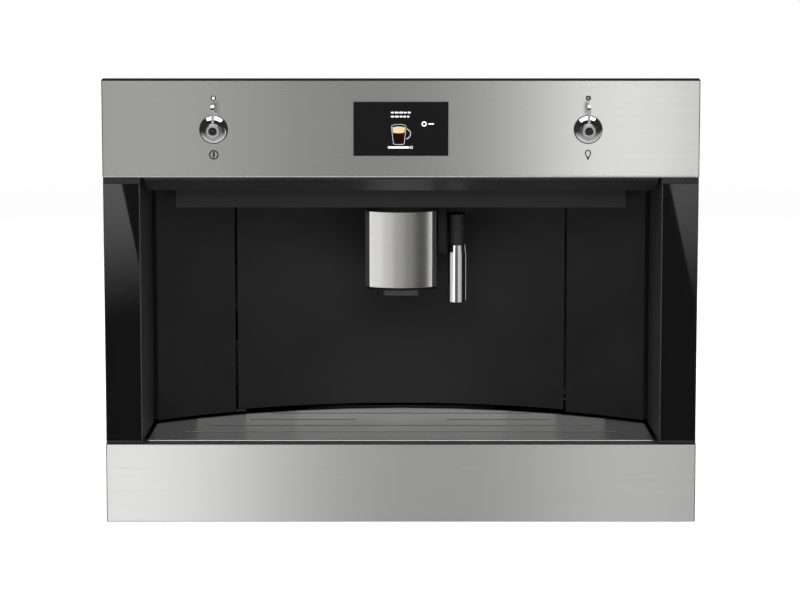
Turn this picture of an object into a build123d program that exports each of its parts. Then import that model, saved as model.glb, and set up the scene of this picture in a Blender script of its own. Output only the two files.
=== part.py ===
from build123d import *
import math
import os

# Built-in coffee machine: one STEP file for each piece, in millimetres.
# X runs to the right as one faces the machine, Y runs back into the cabinet and Z runs up.
# The origin is under the middle of the whole machine, level with the bottom of the lower panel.
# "Depth" is measured back from the front face of the steel panels.

# ---------------------------------------------------------------- front
front_width = 597.0
front_height = 450.0
control_height = 97.5          # steel control panel, down from the top
lower_height = 81.0            # steel lower panel, up from the bottom
sheet = 1.5                    # steel sheet of both panels
fascia_depth = 20.0            # turned edges of the control panel
edge_round = 0.9               # rounded front edges of both panels
lower_panel_depth = 19.0
lower_top_return = 2.5         # the lower panel's top edge is only a narrow hem
gap = 0.2                      # fitted pieces that stay put
running = 0.05                 # shafts and pins in their bores
slide_gap = 0.3                # things that slide past each other
over = 1.0                     # how far a cut runs past a face, and a joined piece into its neighbour

# ---------------------------------------------------------------- chassis
chassis_half = 264.0           # outside of the side panels, from the middle
chassis_drop = 48.0            # top of the chassis, below the top of the front
chassis_bottom = 3.0
chassis_depth = 420.0          # back of the rear panel
chassis_sheet = 1.5
cover_thickness = 2.0
cover_front = 30.0
pan_front = 24.0
pan_height = 17.0
flange_thickness = 2.0         # flanges that stop on the front edges of the cabinet
flange_half = 297.5
flange_margin = 2.0            # below the top of the front
flange_return = 22.0           # their turned-back edge
flange_return_rise = 8.0       # it starts above the rail's flange
deck_rise = 8.5                # shelf that carries the works, above the lower panel
deck_front = 200.0
chute_half = 40.0              # opening under the brew unit
chute_depth = (212.0, 232.0)
ceiling_drop = 5.5             # ceiling of the recess, below the control panel
ceiling_thickness = 2.5
vent_width = 6.0
vent_pitch = 16.0
side_vent_count = 9
side_vent_depth = 250.0
side_vent_drop = 32.0
side_vent_height = 70.0
rear_vent_count = 8
rear_vent_half = 60.0
rear_vent_drop = 34.0
inlet_x = -200.0
inlet_rise = 40.5              # above the deck
inlet_width = 27.4
inlet_height = 19.8
inlet_corner = 4.0
inlet_length = 22.0
inlet_flange_half = (24.0, 14.0)
inlet_flange_thickness = 3.0
inlet_wall = 3.0
inlet_socket = 17.0
inlet_pin_pitch = 7.0
inlet_pin_half = (1.0, 2.0)

# ---------------------------------------------------------------- levers and display
selector_x = 186.9
selector_drop = 49.4           # below the top of the front
lever_proud = 20.0
hub_radius = 6.45
hub_length = 7.0
hub_recess_radius = 4.2
hub_recess_depth = 2.0
hub_screw_radius = 1.3
escutcheon_radius = 14.25
escutcheon_rim = 0.8
escutcheon_neck = 6.9
escutcheon_waist_radius = 9.5
escutcheon_waist_height = 5.4
shaft_radius = 3.0
shaft_end = 16.0
shaft_hole_gap = 0.5
lever_length = 26.2
lever_root_width = 2.6
lever_tip_width = 3.7
lever_thickness = 3.0
lever_setback = 2.0            # behind the hub's face
lever_groove = (21.4, 23.2)    # above the hub's centre
lever_groove_depth = 0.5
indicator_drop = 18.0
indicator_radius = 2.5
indicator_proud = 0.3
lens_gap = 0.1
display_width = 94.4
display_height = 54.0
display_drop = 48.7            # its middle, below the top of the front
display_glass_thickness = 3.0
display_proud = 0.2
module_border = 4.0            # display module, wider than its glass
carrier_thickness = 4.5
carrier_border = 12.0
carrier_rim = 3.0
board_half = 215.0
board_margin = 9.5             # above and below the control board
board_depth = 16.5
board_thickness = 1.6
standoff_radius = 3.0
standoff_inset = (10.0, 6.0)
standoff_inner_x = 100.0
switch_radius = 11.0

# ---------------------------------------------------------------- pillars and recess
pillar_inner = 260.8
pillar_outer = 297.4
pillar_rise = 3.3              # above the lower panel
pillar_drop = 6.5              # below the control panel
pillar_glass_front = 0.3
pillar_glass_thickness = 4.0
pillar_bevel = 1.0
pillar_rim = 0.6               # dark edge outside the glass
pillar_frame_front = 0.6
pillar_frame_wall = 3.0
pillar_frame_overlap = 0.9     # it reaches below the grille's top
glass_gap = (0.1, 0.15)        # beside the glass, and above and below it
recess_half_front = 261.0
recess_half_back = 257.0
recess_back_depth = 99.0
wall = 2.5                     # moulded walls of the recess
side_wall = 2.0                # its flat side walls, which pass inside the side panels
groove_half = 252.2            # inner side of the upright groove beside the curved wall
groove_depth = 109.0
wall_radius = 413.0            # curved back wall, hollow towards the user
wall_deepest = 186.5
wall_seat_gap = 0.02          # between the door's face and what is screwed to it
wall_seat = 7.0                # door stop on the back of the fixed wall
wall_seat_width = 3.0
wall_seat_rise = 20.0
side_panel_rise = 2.8          # curved wall, above the grille
side_wall_rise = 0.7
door_half = 171.2
door_gap = 2.6
door_rise = 5.0                # above the grille
door_drop = 1.2                # below the canopy
door_skin = 3.0
door_rim_depth = 9.0
door_rim_width = 11.0
pivot_inset = 3.0              # pivot axis, in from the door's left edge
pivot_back = 3.0               # pivot axis, behind the door's face
pivot_radius = 1.8
pivot_play = 0.02
pivot_engagement = 9.5
pivot_end_gap = 0.5
pivot_reach = 5.0              # bore in the canopy's boss
pivot_boss_half = 6.0
pivot_boss_height = 6.0
pivot_tab_depth = (4.4, 7.0)   # before and behind the axis
pivot_tab_x = (8.0, 5.0)       # outside the door's gap, and inside the axis
lip_front = 1.5
lip_drop = 2.3                 # below the control panel
lip_back = 31.0
lip_height = 14.8
lip_half = 257.5
lip_thickness = 2.2
lip_edge = 4.0
lip_hem = 2.6
lip_face = 0.7
canopy_half = 229.0
canopy_front = 58.0
canopy_height = 32.5
canopy_tail = 12.0             # behind the door's face
canopy_back_gap = 2.0          # before the deck

# ---------------------------------------------------------------- coffee spout
spout_half = 36.6
spout_cover_half = 32.2
spout_front = 72.0
spout_front_radius = 62.0
spout_back = 140.0
spout_drop = 1.5               # below the canopy
spout_height = 86.7
spout_cap_height = 5.8
spout_cap_proud = 0.8
spout_cap_side = 0.6
spout_cover_rise = 2.7
spout_cover_thickness = 1.2
column_half = 20.0
column_front = 118.0
column_tail = 4.3              # below the spout
column_drop = 2.0              # below the spout's top
nozzle_half = 17.9
nozzle_depths = (84.0, 106.0)
nozzle_height = 6.8
nozzle_corner = 1.5
nozzle_bore_radius = 2.6
nozzle_bore_x = 8.0
nozzle_bore_top = 12.0

# ---------------------------------------------------------------- hot water spout
water_x = 57.8
water_depth = 110.0
grip_radius = 7.95
grip_drop = 13.0               # below the canopy
grip_height = 32.5
grip_round = 1.2
sleeve_radius = 9.6
sleeve_height = 60.0
shoulder_height = 11.0
shoulder_gap = 0.4
sleeve_bore_radius = 5.0
sleeve_bore_depth = 12.0
sleeve_edge = 0.8
water_bore_radius = 2.5
stub_radius = 4.5
stub_drop = 13.5               # below the top of the grip
stub_arm_half = 9.0
stub_arm_gap = 3.0
bracket_left = 38.2
bracket_thickness = 9.0
bracket_front = 96.0
bracket_drop = 3.5             # below the canopy
bracket_height = 49.0
beam_right = 82.0
beam_height = 8.0
beam_half_depth = 4.0
beam_flange = (2.0, 6.0, 7.0)  # thickness, half its depth, and how far it hangs below the beam

# ---------------------------------------------------------------- drawer
grille_front = 10.7
grille_rise = 1.5              # above the lower panel
grille_thickness = 1.2
grille_half_front = 256.6
grille_half_back = 252.6
grille_corner = 104.0          # where its slanted sides end
grille_radius = 411.6          # back edge, about the same axis as the curved wall
grille_seat = 0.1
slot_width = 4.0
slot_rows = ((54.0, 0.0, 222.8), (87.0, 0.0, 199.2), (120.0, 47.0, 157.6), (154.2, 0.0, 137.6))
drawer_back = 312.0
drawer_half = 255.0
drawer_plate = (8.0, 11.0)
drawer_skin = 6.0              # carrier behind the lower panel, back to this depth
drawer_rail_height = 6.0
drawer_edge = 2.0
drawer_edge_height = 17.0
drawer_foot_x = 243.0
drawer_foot_half = 3.0
drawer_foot_front = 26.0
tray_wall = 2.5
tray_inset = 6.2
container_half = 100.0
container_front = 190.0
container_drop = 3.5           # below the door
container_wall = 2.0

# ---------------------------------------------------------------- beans, ground coffee and water
lid_gap = 0.3
lid_thickness = 3.0
lid_overlap = 4.0
lid_rim_depth = 6.0
lid_rim_gap = 1.2
lid_rim_wall = 2.0
lid_pin_radius = 1.5
lid_pin_play = 0.12
lid_barrel_radius = 2.2
lid_lug_width = 4.0
lid_lug_reach = 3.4
lid_relief = 5.2               # the lid is cut back this far around its lugs
hopper_x = (-230.0, -40.0)
hopper_depth = (150.0, 345.0)
hopper_clearance = 2.5         # above the recess ceiling
hopper_throat_half = 45.0
grinder_x = -130.0
grinder_depth = 285.0
grinder_drop = 52.0            # below the hopper's floor
grinder_outlet_half = 24.0
funnel_x = (12.0, 72.0)
funnel_depth = (230.0, 290.0)
funnel_outlet_half = 15.0
tank_x = (92.0, 256.0)
tank_depth = (206.0, 406.0)
tank_drop = 10.0               # below the top of the chassis
tank_opening_gap = 3.0
tank_hinge_room = 9.0
tank_rim = 5.5                 # wall at its front and back
tank_wall = 2.5

# ---------------------------------------------------------------- works
motor_radius = 30.0
housing_radius = 38.0
housing_wall = 6.0
housing_height = 110.0
burr_drop = 50.0               # below the top of the grinder
burr_height = 30.0
burr_gap = 0.8
burr_seat = 0.1
burr_wide = 27.0
burr_narrow = 15.0
burr_shaft_radius = 5.0
burr_shaft_length = 11.0       # into the motor
burr_bearing = 10.0
knob_radius = 16.0
knob_depth = 378.0
knob_height = 6.7
knob_flutes = 12
knob_flute_radius = 1.6
knob_flute_offset = 0.6
knob_shaft_length = 8.0
brew_half = 60.0
brew_depth = (206.0, 312.0)
brew_drop = 30.0               # below the hopper's floor
brew_wall = 5.0
brew_floor = 7.5
brew_roof = 6.0
brew_axis_depth = 258.0
chamber_bore = 22.5
chamber_wall = 5.5
chamber_rise = 80.5            # above the deck
chamber_height = 65.0
chamber_arm_half = 12.0
chamber_arm = (20.0, 30.0)     # above the bottom of the chamber
piston_inset = 2.0
piston_thickness = 12.0
piston_play = 0.08
rod_radius = 10.0
rod_length = 54.0
spindle_radius = 6.0
spindle_length = 60.0
spindle_thread_gap = 2.0
spindle_collar = 8.5
spindle_collar_height = 4.0
journal_radius = 5.0
journal_length = 7.0
journal_end_gap = 0.5
gearbox_height = 11.0
gearbox_half = 28.0
gearbox_front = 236.0
brew_motor_radius = 13.0
brew_motor_depth = 293.0
brew_motor_height = 47.0
heater_half = 45.0
heater_thickness = 40.0
heater_rise = 115.5            # above the deck
heater_height = 95.0
heater_rib_pitch = 20.0
heater_rib_count = 4
heater_groove = (3.0, 8.0)     # half its height, and its depth
heater_pipe_radius = 4.0
heater_pipe_reach = 13.0
heater_pipe_depth = 15.0
heater_pipe_inset = 10.0
pump_depth = 368.0
pump_radius = 20.0
pump_rise = 24.0
pump_x = (-60.0, 20.0)
pump_head = (12.0, 25.0)       # radius and length
pump_outlet = (5.0, 25.0)
pump_saddle_inset = 5.0
pump_saddle_half = 16.0
pump_saddle_height = 18.0
power_depth = (220.0, 400.0)
power_rise = 30.5              # above the deck
power_height = 170.0
power_gap = 6.0                # between the board and the side panel
power_standoff = 3.0
power_standoff_inset = 10.0
transformer = (15.0, 40.0, 29.0)    # in from the board's corner, length of a side, and how far it stands out
relay_starts = (70.0, 110.0)
relay = (30.0, 17.0)
capacitor = (8.0, 30.0, 100.0, 27.0)    # radius, place along and up the board, and how far it stands out

# ---------------------------------------------------------------- rails
rail_z = 60.0
rail_depth = (26.0, 416.0)
rail_sheet = 1.6
rail_outer_half = 24.2
rail_middle_half = 19.6
rail_inner_half = 15.0
rail_outer_face = 280.0        # against the cabinet's side
rail_mouth = 3.0               # open side of the outer rail, from the chassis
rail_middle = (2.4, 10.6)      # both sides of the middle rail, from the chassis
rail_inner_width = 7.6
rail_flange_top = 107.0
rail_hole_z = 96.0
rail_hole_depths = (80.0, 304.0)
rail_hole_radius = 3.1
ball_radius = 1.4
ball_count = 5
ball_margin = 10.0
ball_x = (5.0, 7.5)            # inner and outer rows, from the chassis

# ---------------------------------------------------------------- worked out from the above
front_y = -(chassis_depth - lever_proud) / 2
front_half = front_width / 2
wall_axis = wall_deepest - wall_radius
inner_half = chassis_half - chassis_sheet
rear_face = chassis_depth - chassis_sheet
control_bottom = front_height - control_height
selector_z = front_height - selector_drop
indicator_z = front_height - indicator_drop
display_z = front_height - display_drop
chassis_top = front_height - chassis_drop
cover_bottom = chassis_top - cover_thickness
deck_top = lower_height + deck_rise
grille_top = lower_height + grille_rise
ceiling_bottom = control_bottom - ceiling_drop
ceiling_top = ceiling_bottom + ceiling_thickness
canopy_bottom = ceiling_bottom - canopy_height
pillar_bottom = lower_height + pillar_rise
pillar_top = control_bottom - pillar_drop
side_panel_bottom = grille_top + side_panel_rise
side_wall_bottom = grille_top + side_wall_rise
door_bottom = grille_top + door_rise
door_top = canopy_bottom - door_drop
lip_top = control_bottom - lip_drop
lip_bottom = lip_top - lip_height
spout_top = canopy_bottom - spout_drop
spout_bottom = spout_top - spout_height
grip_top = canopy_bottom - grip_drop
grip_bottom = grip_top - grip_height
sleeve_bottom = grip_bottom - sleeve_height
sleeve_shoulder = grip_bottom - shoulder_height
stub_z = grip_top - stub_drop
bracket_top = canopy_bottom - bracket_drop
beam_top = grille_top - grille_thickness - grille_seat
hopper_floor = ceiling_top + hopper_clearance
grinder_top = hopper_floor - grinder_drop
motor_top = grinder_top - housing_height
brew_top = hopper_floor - brew_drop
brew_base = deck_top + brew_floor
gearbox_top = brew_base + gearbox_height
chamber_bottom = deck_top + chamber_rise
piston_bottom = chamber_bottom + piston_inset
tank_top = chassis_top - tank_drop
inlet_z = deck_top + inlet_rise
pieces = {}


def y_at(depth):
    """Y of a depth behind the steel's front face."""
    return front_y + depth


def middle(span):
    return (span[0] + span[1]) / 2


def inside(span, margin):
    return span[0] + margin, span[1] - margin


def block(x, depth, z):
    centre = Pos(middle(x), y_at(middle(depth)), middle(z))
    return centre * Box(x[1] - x[0], depth[1] - depth[0], z[1] - z[0])


def upright(radius, x, depth, z):
    return Pos(x, y_at(depth), middle(z)) * Cylinder(radius, z[1] - z[0])


def level(radius, x, z, depth):
    """A round bar that runs front to back."""
    return Pos(x, y_at(middle(depth)), z) * Rot(90, 0, 0) * Cylinder(radius, depth[1] - depth[0])


def crosswise(radius, depth, z, x):
    return Pos(middle(x), y_at(depth), z) * Rot(0, 90, 0) * Cylinder(radius, x[1] - x[0])


def plan_prism(points, z):
    """An outline of (x, depth) points, raised from z[0] to z[1]."""
    outline = Polyline(*[(x, y_at(depth), z[0]) for x, depth in points], close=True)
    return extrude(make_face(outline), amount=z[1] - z[0], dir=(0, 0, 1))


def side_prism(points, x):
    """An outline of (depth, z) points, drawn out from x[0] to x[1]."""
    outline = Polyline(*[(x[0], y_at(depth), z) for depth, z in points], close=True)
    return extrude(make_face(outline), amount=x[1] - x[0], dir=(1, 0, 0))


def front_prism(points, depth):
    """An outline of (x, z) points, drawn back from depth[0] to depth[1]."""
    outline = Polyline(*[(x, y_at(depth[0]), z) for x, z in points], close=True)
    return extrude(make_face(outline), amount=depth[1] - depth[0], dir=(0, 1, 0))


def wall_depth(radius, x):
    """Depth of an arc about the curved wall's axis, at a distance x from the middle."""
    return wall_axis + math.sqrt(radius ** 2 - x ** 2)


def curved(inner, outer, x, z):
    """A piece of wall between two radii about the curved wall's axis."""
    ring = upright(outer, 0, wall_axis, z) - upright(inner, 0, wall_axis, z)
    return ring & block(x, (0, wall_axis + outer + over), z)


def in_front_of(radius, solid, z):
    """Trims a solid to the user's side of an arc about the curved wall's axis."""
    return solid & upright(radius, 0, wall_axis, z)


def funnel_body(low, low_z, high, high_z):
    """A tapered block between two level rectangles, each (x centre, depth centre, half x, half depth)."""
    faces = []
    for (x, depth, half_x, half_depth), z in ((low, low_z), (high, high_z)):
        faces.append(Pos(x, y_at(depth), z) * Rectangle(2 * half_x, 2 * half_depth))
    return loft(faces)


def both_sides(solid):
    return [mirror(solid, about=Plane.YZ), solid]


def keep(name, *solids):
    pieces[name] = solids[0] if len(solids) == 1 else Compound(list(solids))


# ---------------------------------------------------------------- rails
def channel(x, half, hollow_x):
    """A rail of channel section, open on the side where its hollow reaches its edge."""
    rail = block(x, rail_depth, (rail_z - half, rail_z + half))
    return rail - block(hollow_x, rail_depth, (rail_z - half + rail_sheet, rail_z + half - rail_sheet))


def make_rails():
    mouth = chassis_half + rail_mouth
    web = (rail_outer_face - rail_sheet, rail_outer_face)
    outer = channel((mouth, rail_outer_face), rail_outer_half, (mouth, web[0]))
    outer += block(web, rail_depth, (rail_z + rail_outer_half, rail_flange_top))
    for depth in rail_hole_depths:
        outer -= crosswise(rail_hole_radius, depth, rail_hole_z, (web[0] - over, web[1] + over))
    keep("outer_rails", *both_sides(outer))

    near, far = (chassis_half + x for x in rail_middle)
    keep("middle_rails", *both_sides(channel((near, far), rail_middle_half, (near, far - rail_sheet))))

    edge = chassis_half + rail_inner_width
    inner = channel((chassis_half, edge), rail_inner_half, (chassis_half + rail_sheet, edge))
    keep("inner_rails", *both_sides(inner))

    # The balls turn in the middle rail: the front ones on the inner rail, the back ones in the outer rail.
    half_length = (rail_depth[1] - rail_depth[0]) / 2
    step = (half_length - 2 * ball_margin) / (ball_count - 1)
    inner_row = (rail_inner_half + rail_middle_half - rail_sheet) / 2
    outer_row = (rail_middle_half + rail_outer_half - rail_sheet) / 2
    balls = []
    for number in range(ball_count):
        for row, x, start in ((inner_row, chassis_half + ball_x[0], rail_depth[0]),
                              (outer_row, chassis_half + ball_x[1], rail_depth[0] + half_length)):
            depth = start + ball_margin + number * step
            for side in (-1, 1):
                for z in (rail_z - row, rail_z + row):
                    balls.append(Pos(side * x, y_at(depth), z) * Sphere(ball_radius))
    keep("rail_balls", *balls)


# ---------------------------------------------------------------- chassis
def make_chassis():
    pan_top = chassis_bottom + pan_height
    pan = block((-inner_half, inner_half), (pan_front, rear_face), (chassis_bottom, pan_top))
    pan -= block(inside((-inner_half, inner_half), chassis_sheet), (pan_front, rear_face - chassis_sheet),
                 (chassis_bottom + chassis_sheet, pan_top))
    keep("base_pan", pan)

    flange_back = fascia_depth + flange_thickness
    side = block((inner_half, chassis_half), (flange_back, rear_face), (chassis_bottom, cover_bottom))
    vent_top = chassis_top - side_vent_drop
    for number in range(side_vent_count):
        depth = side_vent_depth + number * vent_pitch
        side -= block((inner_half - over, chassis_half + over), (depth, depth + vent_width),
                      (vent_top - side_vent_height, vent_top))
    keep("side_panels", *both_sides(side))

    rear = block((-chassis_half, chassis_half), (rear_face, chassis_depth), (chassis_bottom, cover_bottom))
    for number in range(rear_vent_count):
        z = chassis_top - rear_vent_drop - number * vent_pitch
        rear -= block((-rear_vent_half, rear_vent_half), (rear_face - over, chassis_depth + over),
                      (z - vent_width, z))
    rear -= inlet_body(gap, over)
    keep("rear_panel", rear)

    deck = block((-inner_half, inner_half), (deck_front, rear_face), (deck_top - chassis_sheet, deck_top))
    deck -= block((-chute_half, chute_half), chute_depth, (deck_top - chassis_sheet - over, deck_top + over))
    keep("mid_deck", deck)

    flange = block((chassis_half, flange_half), (fascia_depth, flange_back),
                   (chassis_bottom, front_height - flange_margin))
    flange += block((chassis_half, chassis_half + chassis_sheet), (flange_back, flange_back + flange_return),
                    (rail_flange_top + flange_return_rise, cover_bottom))
    keep("side_flanges", *both_sides(flange))
    keep("mains_inlet", make_inlet())


def inlet_body(extra, reach):
    """The inlet's body, or the hole for it: larger all round by extra, and longer to the back by reach."""
    xs = (inlet_x - inlet_width / 2 - extra, inlet_x + inlet_width / 2 + extra)
    zs = (inlet_z - inlet_height / 2 - extra, inlet_z + inlet_height / 2 + extra)
    points = [(xs[0], zs[0]), (xs[1], zs[0]), (xs[1], zs[1] - inlet_corner), (xs[1] - inlet_corner, zs[1]),
              (xs[0] + inlet_corner, zs[1]), (xs[0], zs[1] - inlet_corner)]
    return front_prism(points, (chassis_depth - inlet_length, chassis_depth - gap + reach))


def make_inlet():
    half_x, half_z = inlet_flange_half
    inlet = inlet_body(0, 0)
    inlet += block((inlet_x - half_x, inlet_x + half_x), (rear_face - inlet_flange_thickness, rear_face),
                   (inlet_z - half_z, inlet_z + half_z))
    socket_floor = chassis_depth - inlet_socket
    inlet -= block(inside((inlet_x - inlet_width / 2, inlet_x + inlet_width / 2), inlet_wall),
                   (socket_floor, chassis_depth),
                   inside((inlet_z - inlet_height / 2, inlet_z + inlet_height / 2), inlet_wall))
    pin_x, pin_z = inlet_pin_half
    for x in (inlet_x - inlet_pin_pitch, inlet_x, inlet_x + inlet_pin_pitch):
        inlet += block((x - pin_x, x + pin_x), (socket_floor, chassis_depth - inlet_wall),
                       (inlet_z - pin_z, inlet_z + pin_z))
    return inlet


# ---------------------------------------------------------------- lids and their hinges
def lid_axis(depth, seat):
    return depth[1] + lid_overlap + lid_barrel_radius, seat + lid_gap + lid_barrel_radius


def make_lid(x, depth, seat):
    """A lid over an opening x by depth in a face at height seat, with its hinge barrel at the back."""
    axis_depth, axis_z = lid_axis(depth, seat)
    plate = (seat + lid_gap, seat + lid_gap + lid_thickness)
    over_x = (x[0] - lid_overlap, x[1] + lid_overlap)
    lid = block(over_x, (depth[0] - lid_overlap, axis_depth), plate)
    rim_x = (x[0] + lid_rim_gap, x[1] - lid_rim_gap)
    rim_depth = (depth[0] + lid_rim_gap, depth[1] - lid_rim_gap)
    rim_z = (seat - lid_rim_depth, plate[0])
    rim = block(rim_x, rim_depth, rim_z)
    rim -= block((rim_x[0] + lid_rim_wall, rim_x[1] - lid_rim_wall),
                 (rim_depth[0] + lid_rim_wall, rim_depth[1] - lid_rim_wall), rim_z)
    barrel_x = (over_x[0] + lid_lug_width + slide_gap, over_x[1] - lid_lug_width - slide_gap)
    relief = (axis_depth - lid_relief, axis_depth + lid_relief)
    lid = lid - block((over_x[0] - over, barrel_x[0]), relief, plate)
    lid = lid - block((barrel_x[1], over_x[1] + over), relief, plate)
    lid += crosswise(lid_barrel_radius, axis_depth, axis_z, barrel_x)
    lid += crosswise(lid_pin_radius, axis_depth, axis_z, over_x)
    return lid + rim


def lid_lugs(x, depth, seat):
    axis_depth, axis_z = lid_axis(depth, seat)
    over_x = (x[0] - lid_overlap, x[1] + lid_overlap)
    depths = (axis_depth - lid_lug_reach, axis_depth + lid_lug_reach)
    zs = (seat, axis_z + lid_lug_reach)
    lugs = block((over_x[0], over_x[0] + lid_lug_width), depths, zs)
    lugs += block((over_x[1] - lid_lug_width, over_x[1]), depths, zs)
    bore = (over_x[0] - over, over_x[1] + over)
    return lugs - crosswise(lid_pin_radius + lid_pin_play, axis_depth, axis_z, bore)


def make_top():
    cover_z = (cover_bottom - over, chassis_top + over)
    cover = block((-chassis_half, chassis_half), (cover_front, chassis_depth), (cover_bottom, chassis_top))
    for x, depth in ((hopper_x, hopper_depth), (funnel_x, funnel_depth)):
        cover -= block(inside(x, tank_wall), inside(depth, tank_wall), cover_z)
        cover += lid_lugs(inside(x, tank_wall), inside(depth, tank_wall), chassis_top)
    cover -= block(inside(tank_x, -tank_opening_gap),
                   (tank_depth[0] - tank_opening_gap, tank_depth[1] + tank_hinge_room), cover_z)
    cover -= upright(shaft_radius + running, grinder_x, knob_depth, cover_z)
    keep("top_cover", cover)
    keep("bean_lid", make_lid(inside(hopper_x, tank_wall), inside(hopper_depth, tank_wall), chassis_top))
    keep("funnel_lid", make_lid(inside(funnel_x, tank_wall), inside(funnel_depth, tank_wall), chassis_top))

    knob_bottom = chassis_top + slide_gap
    knob_top = knob_bottom + knob_height
    knob = upright(knob_radius, grinder_x, knob_depth, (knob_bottom, knob_top))
    flute_ring = knob_radius + knob_flute_offset
    for number in range(knob_flutes):
        angle = number * math.tau / knob_flutes
        knob -= upright(knob_flute_radius, grinder_x + flute_ring * math.cos(angle),
                        knob_depth + flute_ring * math.sin(angle), (chassis_top, knob_top + over))
    knob += upright(shaft_radius, grinder_x, knob_depth,
                    (cover_bottom - knob_shaft_length, knob_bottom + over))
    keep("grind_knob", knob)


def make_hopper():
    throat = (grinder_x, grinder_depth, hopper_throat_half, hopper_throat_half)
    outlet = (grinder_x, grinder_depth, grinder_outlet_half, grinder_outlet_half)
    hopper = block(hopper_x, hopper_depth, (hopper_floor, cover_bottom))
    hopper += funnel_body(outlet, grinder_top, throat, hopper_floor)
    hopper -= block(inside(hopper_x, tank_wall), inside(hopper_depth, tank_wall),
                    (hopper_floor + tank_wall, cover_bottom + over))
    cut_outlet = (grinder_x, grinder_depth, grinder_outlet_half - tank_wall, grinder_outlet_half - tank_wall)
    cut_throat = (grinder_x, grinder_depth, hopper_throat_half - tank_wall, hopper_throat_half - tank_wall)
    hopper -= funnel_body(cut_outlet, grinder_top, cut_throat, hopper_floor + tank_wall)
    keep("bean_hopper", hopper)

    x = middle(funnel_x)
    depth = middle(funnel_depth)
    half_x = (funnel_x[1] - funnel_x[0]) / 2
    half_depth = (funnel_depth[1] - funnel_depth[0]) / 2
    funnel = funnel_body((x, depth, funnel_outlet_half, funnel_outlet_half), brew_top,
                         (x, depth, half_x, half_depth), cover_bottom)
    bore = funnel_outlet_half - tank_wall
    funnel -= funnel_body((x, depth, bore, bore), brew_top,
                          (x, depth, half_x - tank_wall, half_depth - tank_wall), cover_bottom)
    keep("ground_coffee_funnel", funnel)


def make_tank():
    opening = (inside(tank_x, tank_wall), inside(tank_depth, tank_rim))
    tank = block(tank_x, tank_depth, (deck_top + slide_gap, tank_top))
    tank -= block(opening[0], opening[1], (deck_top + slide_gap + tank_wall, tank_top + over))
    tank += lid_lugs(opening[0], opening[1], tank_top)
    keep("water_tank", tank)
    keep("tank_lid", make_lid(opening[0], opening[1], tank_top))


# ---------------------------------------------------------------- control panel
def display_block(grow, depth):
    return block((-display_width / 2 - grow, display_width / 2 + grow), depth,
                 (display_z - display_height / 2 - grow, display_z + display_height / 2 + grow))


def make_control_panel():
    full_x = (-front_half, front_half)
    zs = (control_bottom, front_height)
    panel = block(full_x, (0, fascia_depth), zs)
    front_edges = panel.edges().filter_by_position(Axis.Y, y_at(0), y_at(0))
    panel = fillet(front_edges, edge_round)
    panel -= block(inside(full_x, sheet), (sheet, fascia_depth + over), inside(zs, sheet))
    keep("control_panel", panel - panel_holes((-over, sheet + over)))

    carrier_back = sheet + carrier_thickness
    carrier_x = inside(full_x, sheet + gap)
    carrier_z = inside(zs, sheet + gap)
    carrier = block(carrier_x, (sheet, fascia_depth), carrier_z)
    carrier -= block(inside(carrier_x, carrier_border), (carrier_back, fascia_depth + over),
                     inside(carrier_z, carrier_rim))
    keep("panel_carrier", carrier - panel_holes((0, carrier_back + over)))

    cover = block(inside((-chassis_half, chassis_half), gap), (fascia_depth, fascia_depth + chassis_sheet),
                  (ceiling_top + gap, front_height - flange_margin))
    keep("panel_back_cover", cover)

    glass_back = display_glass_thickness - display_proud
    keep("display_glass", display_block(0, (-display_proud, glass_back)))
    board_z = inside(zs, board_margin)
    board_back = board_depth + board_thickness
    board = block((-board_half, board_half), (board_depth, board_back), board_z)
    board += display_block(-slide_gap, (glass_back, carrier_back + over))
    board += display_block(module_border, (carrier_back, board_depth))
    outer_x = board_half - standoff_inset[0]
    for x in (-outer_x, -standoff_inner_x, standoff_inner_x, outer_x):
        for z in inside(board_z, standoff_inset[1]):
            board += level(standoff_radius, x, z, (board_back, fascia_depth))
    keep("control_board", board)

    lenses = []
    switches = []
    escutcheons = []
    for x in (-selector_x, selector_x):
        lenses.append(level(indicator_radius, x, indicator_z, (-indicator_proud, carrier_back)))
        switch = level(switch_radius, x, selector_z, (carrier_back, board_depth))
        switches.append(switch - level(shaft_radius + running, x, selector_z, (0, shaft_end + slide_gap)))
        escutcheons.append(make_escutcheon(x))
    keep("indicator_lenses", *lenses)
    keep("selector_switches", *switches)
    keep("knob_escutcheons", *escutcheons)
    keep("left_lever", make_lever(-selector_x))
    keep("right_lever", make_lever(selector_x))


def panel_holes(depth):
    """What passes through the front: the display, both selectors' shafts and both indicator lenses."""
    holes = display_block(gap, depth)
    for x in (-selector_x, selector_x):
        holes += level(shaft_radius + shaft_hole_gap, x, selector_z, depth)
        holes += level(indicator_radius + lens_gap, x, indicator_z, depth)
    return holes


def make_escutcheon(x):
    """A dished cone, turned about the selector's shaft."""
    height = lever_proud - hub_length - gap
    bore = shaft_radius + running
    rim = (escutcheon_radius, escutcheon_rim)
    neck = (escutcheon_neck, height)
    waist = (escutcheon_waist_radius, escutcheon_waist_height)
    line = Polyline((neck[0], neck[1]), (bore, height), (bore, 0), (escutcheon_radius, 0), rim)
    profile = make_face(line + ThreePointArc(rim, waist, neck))
    turned = revolve(profile, Axis.Y, 360)
    return Pos(x, y_at(0), selector_z) * Rot(180, 0, 0) * turned


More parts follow.
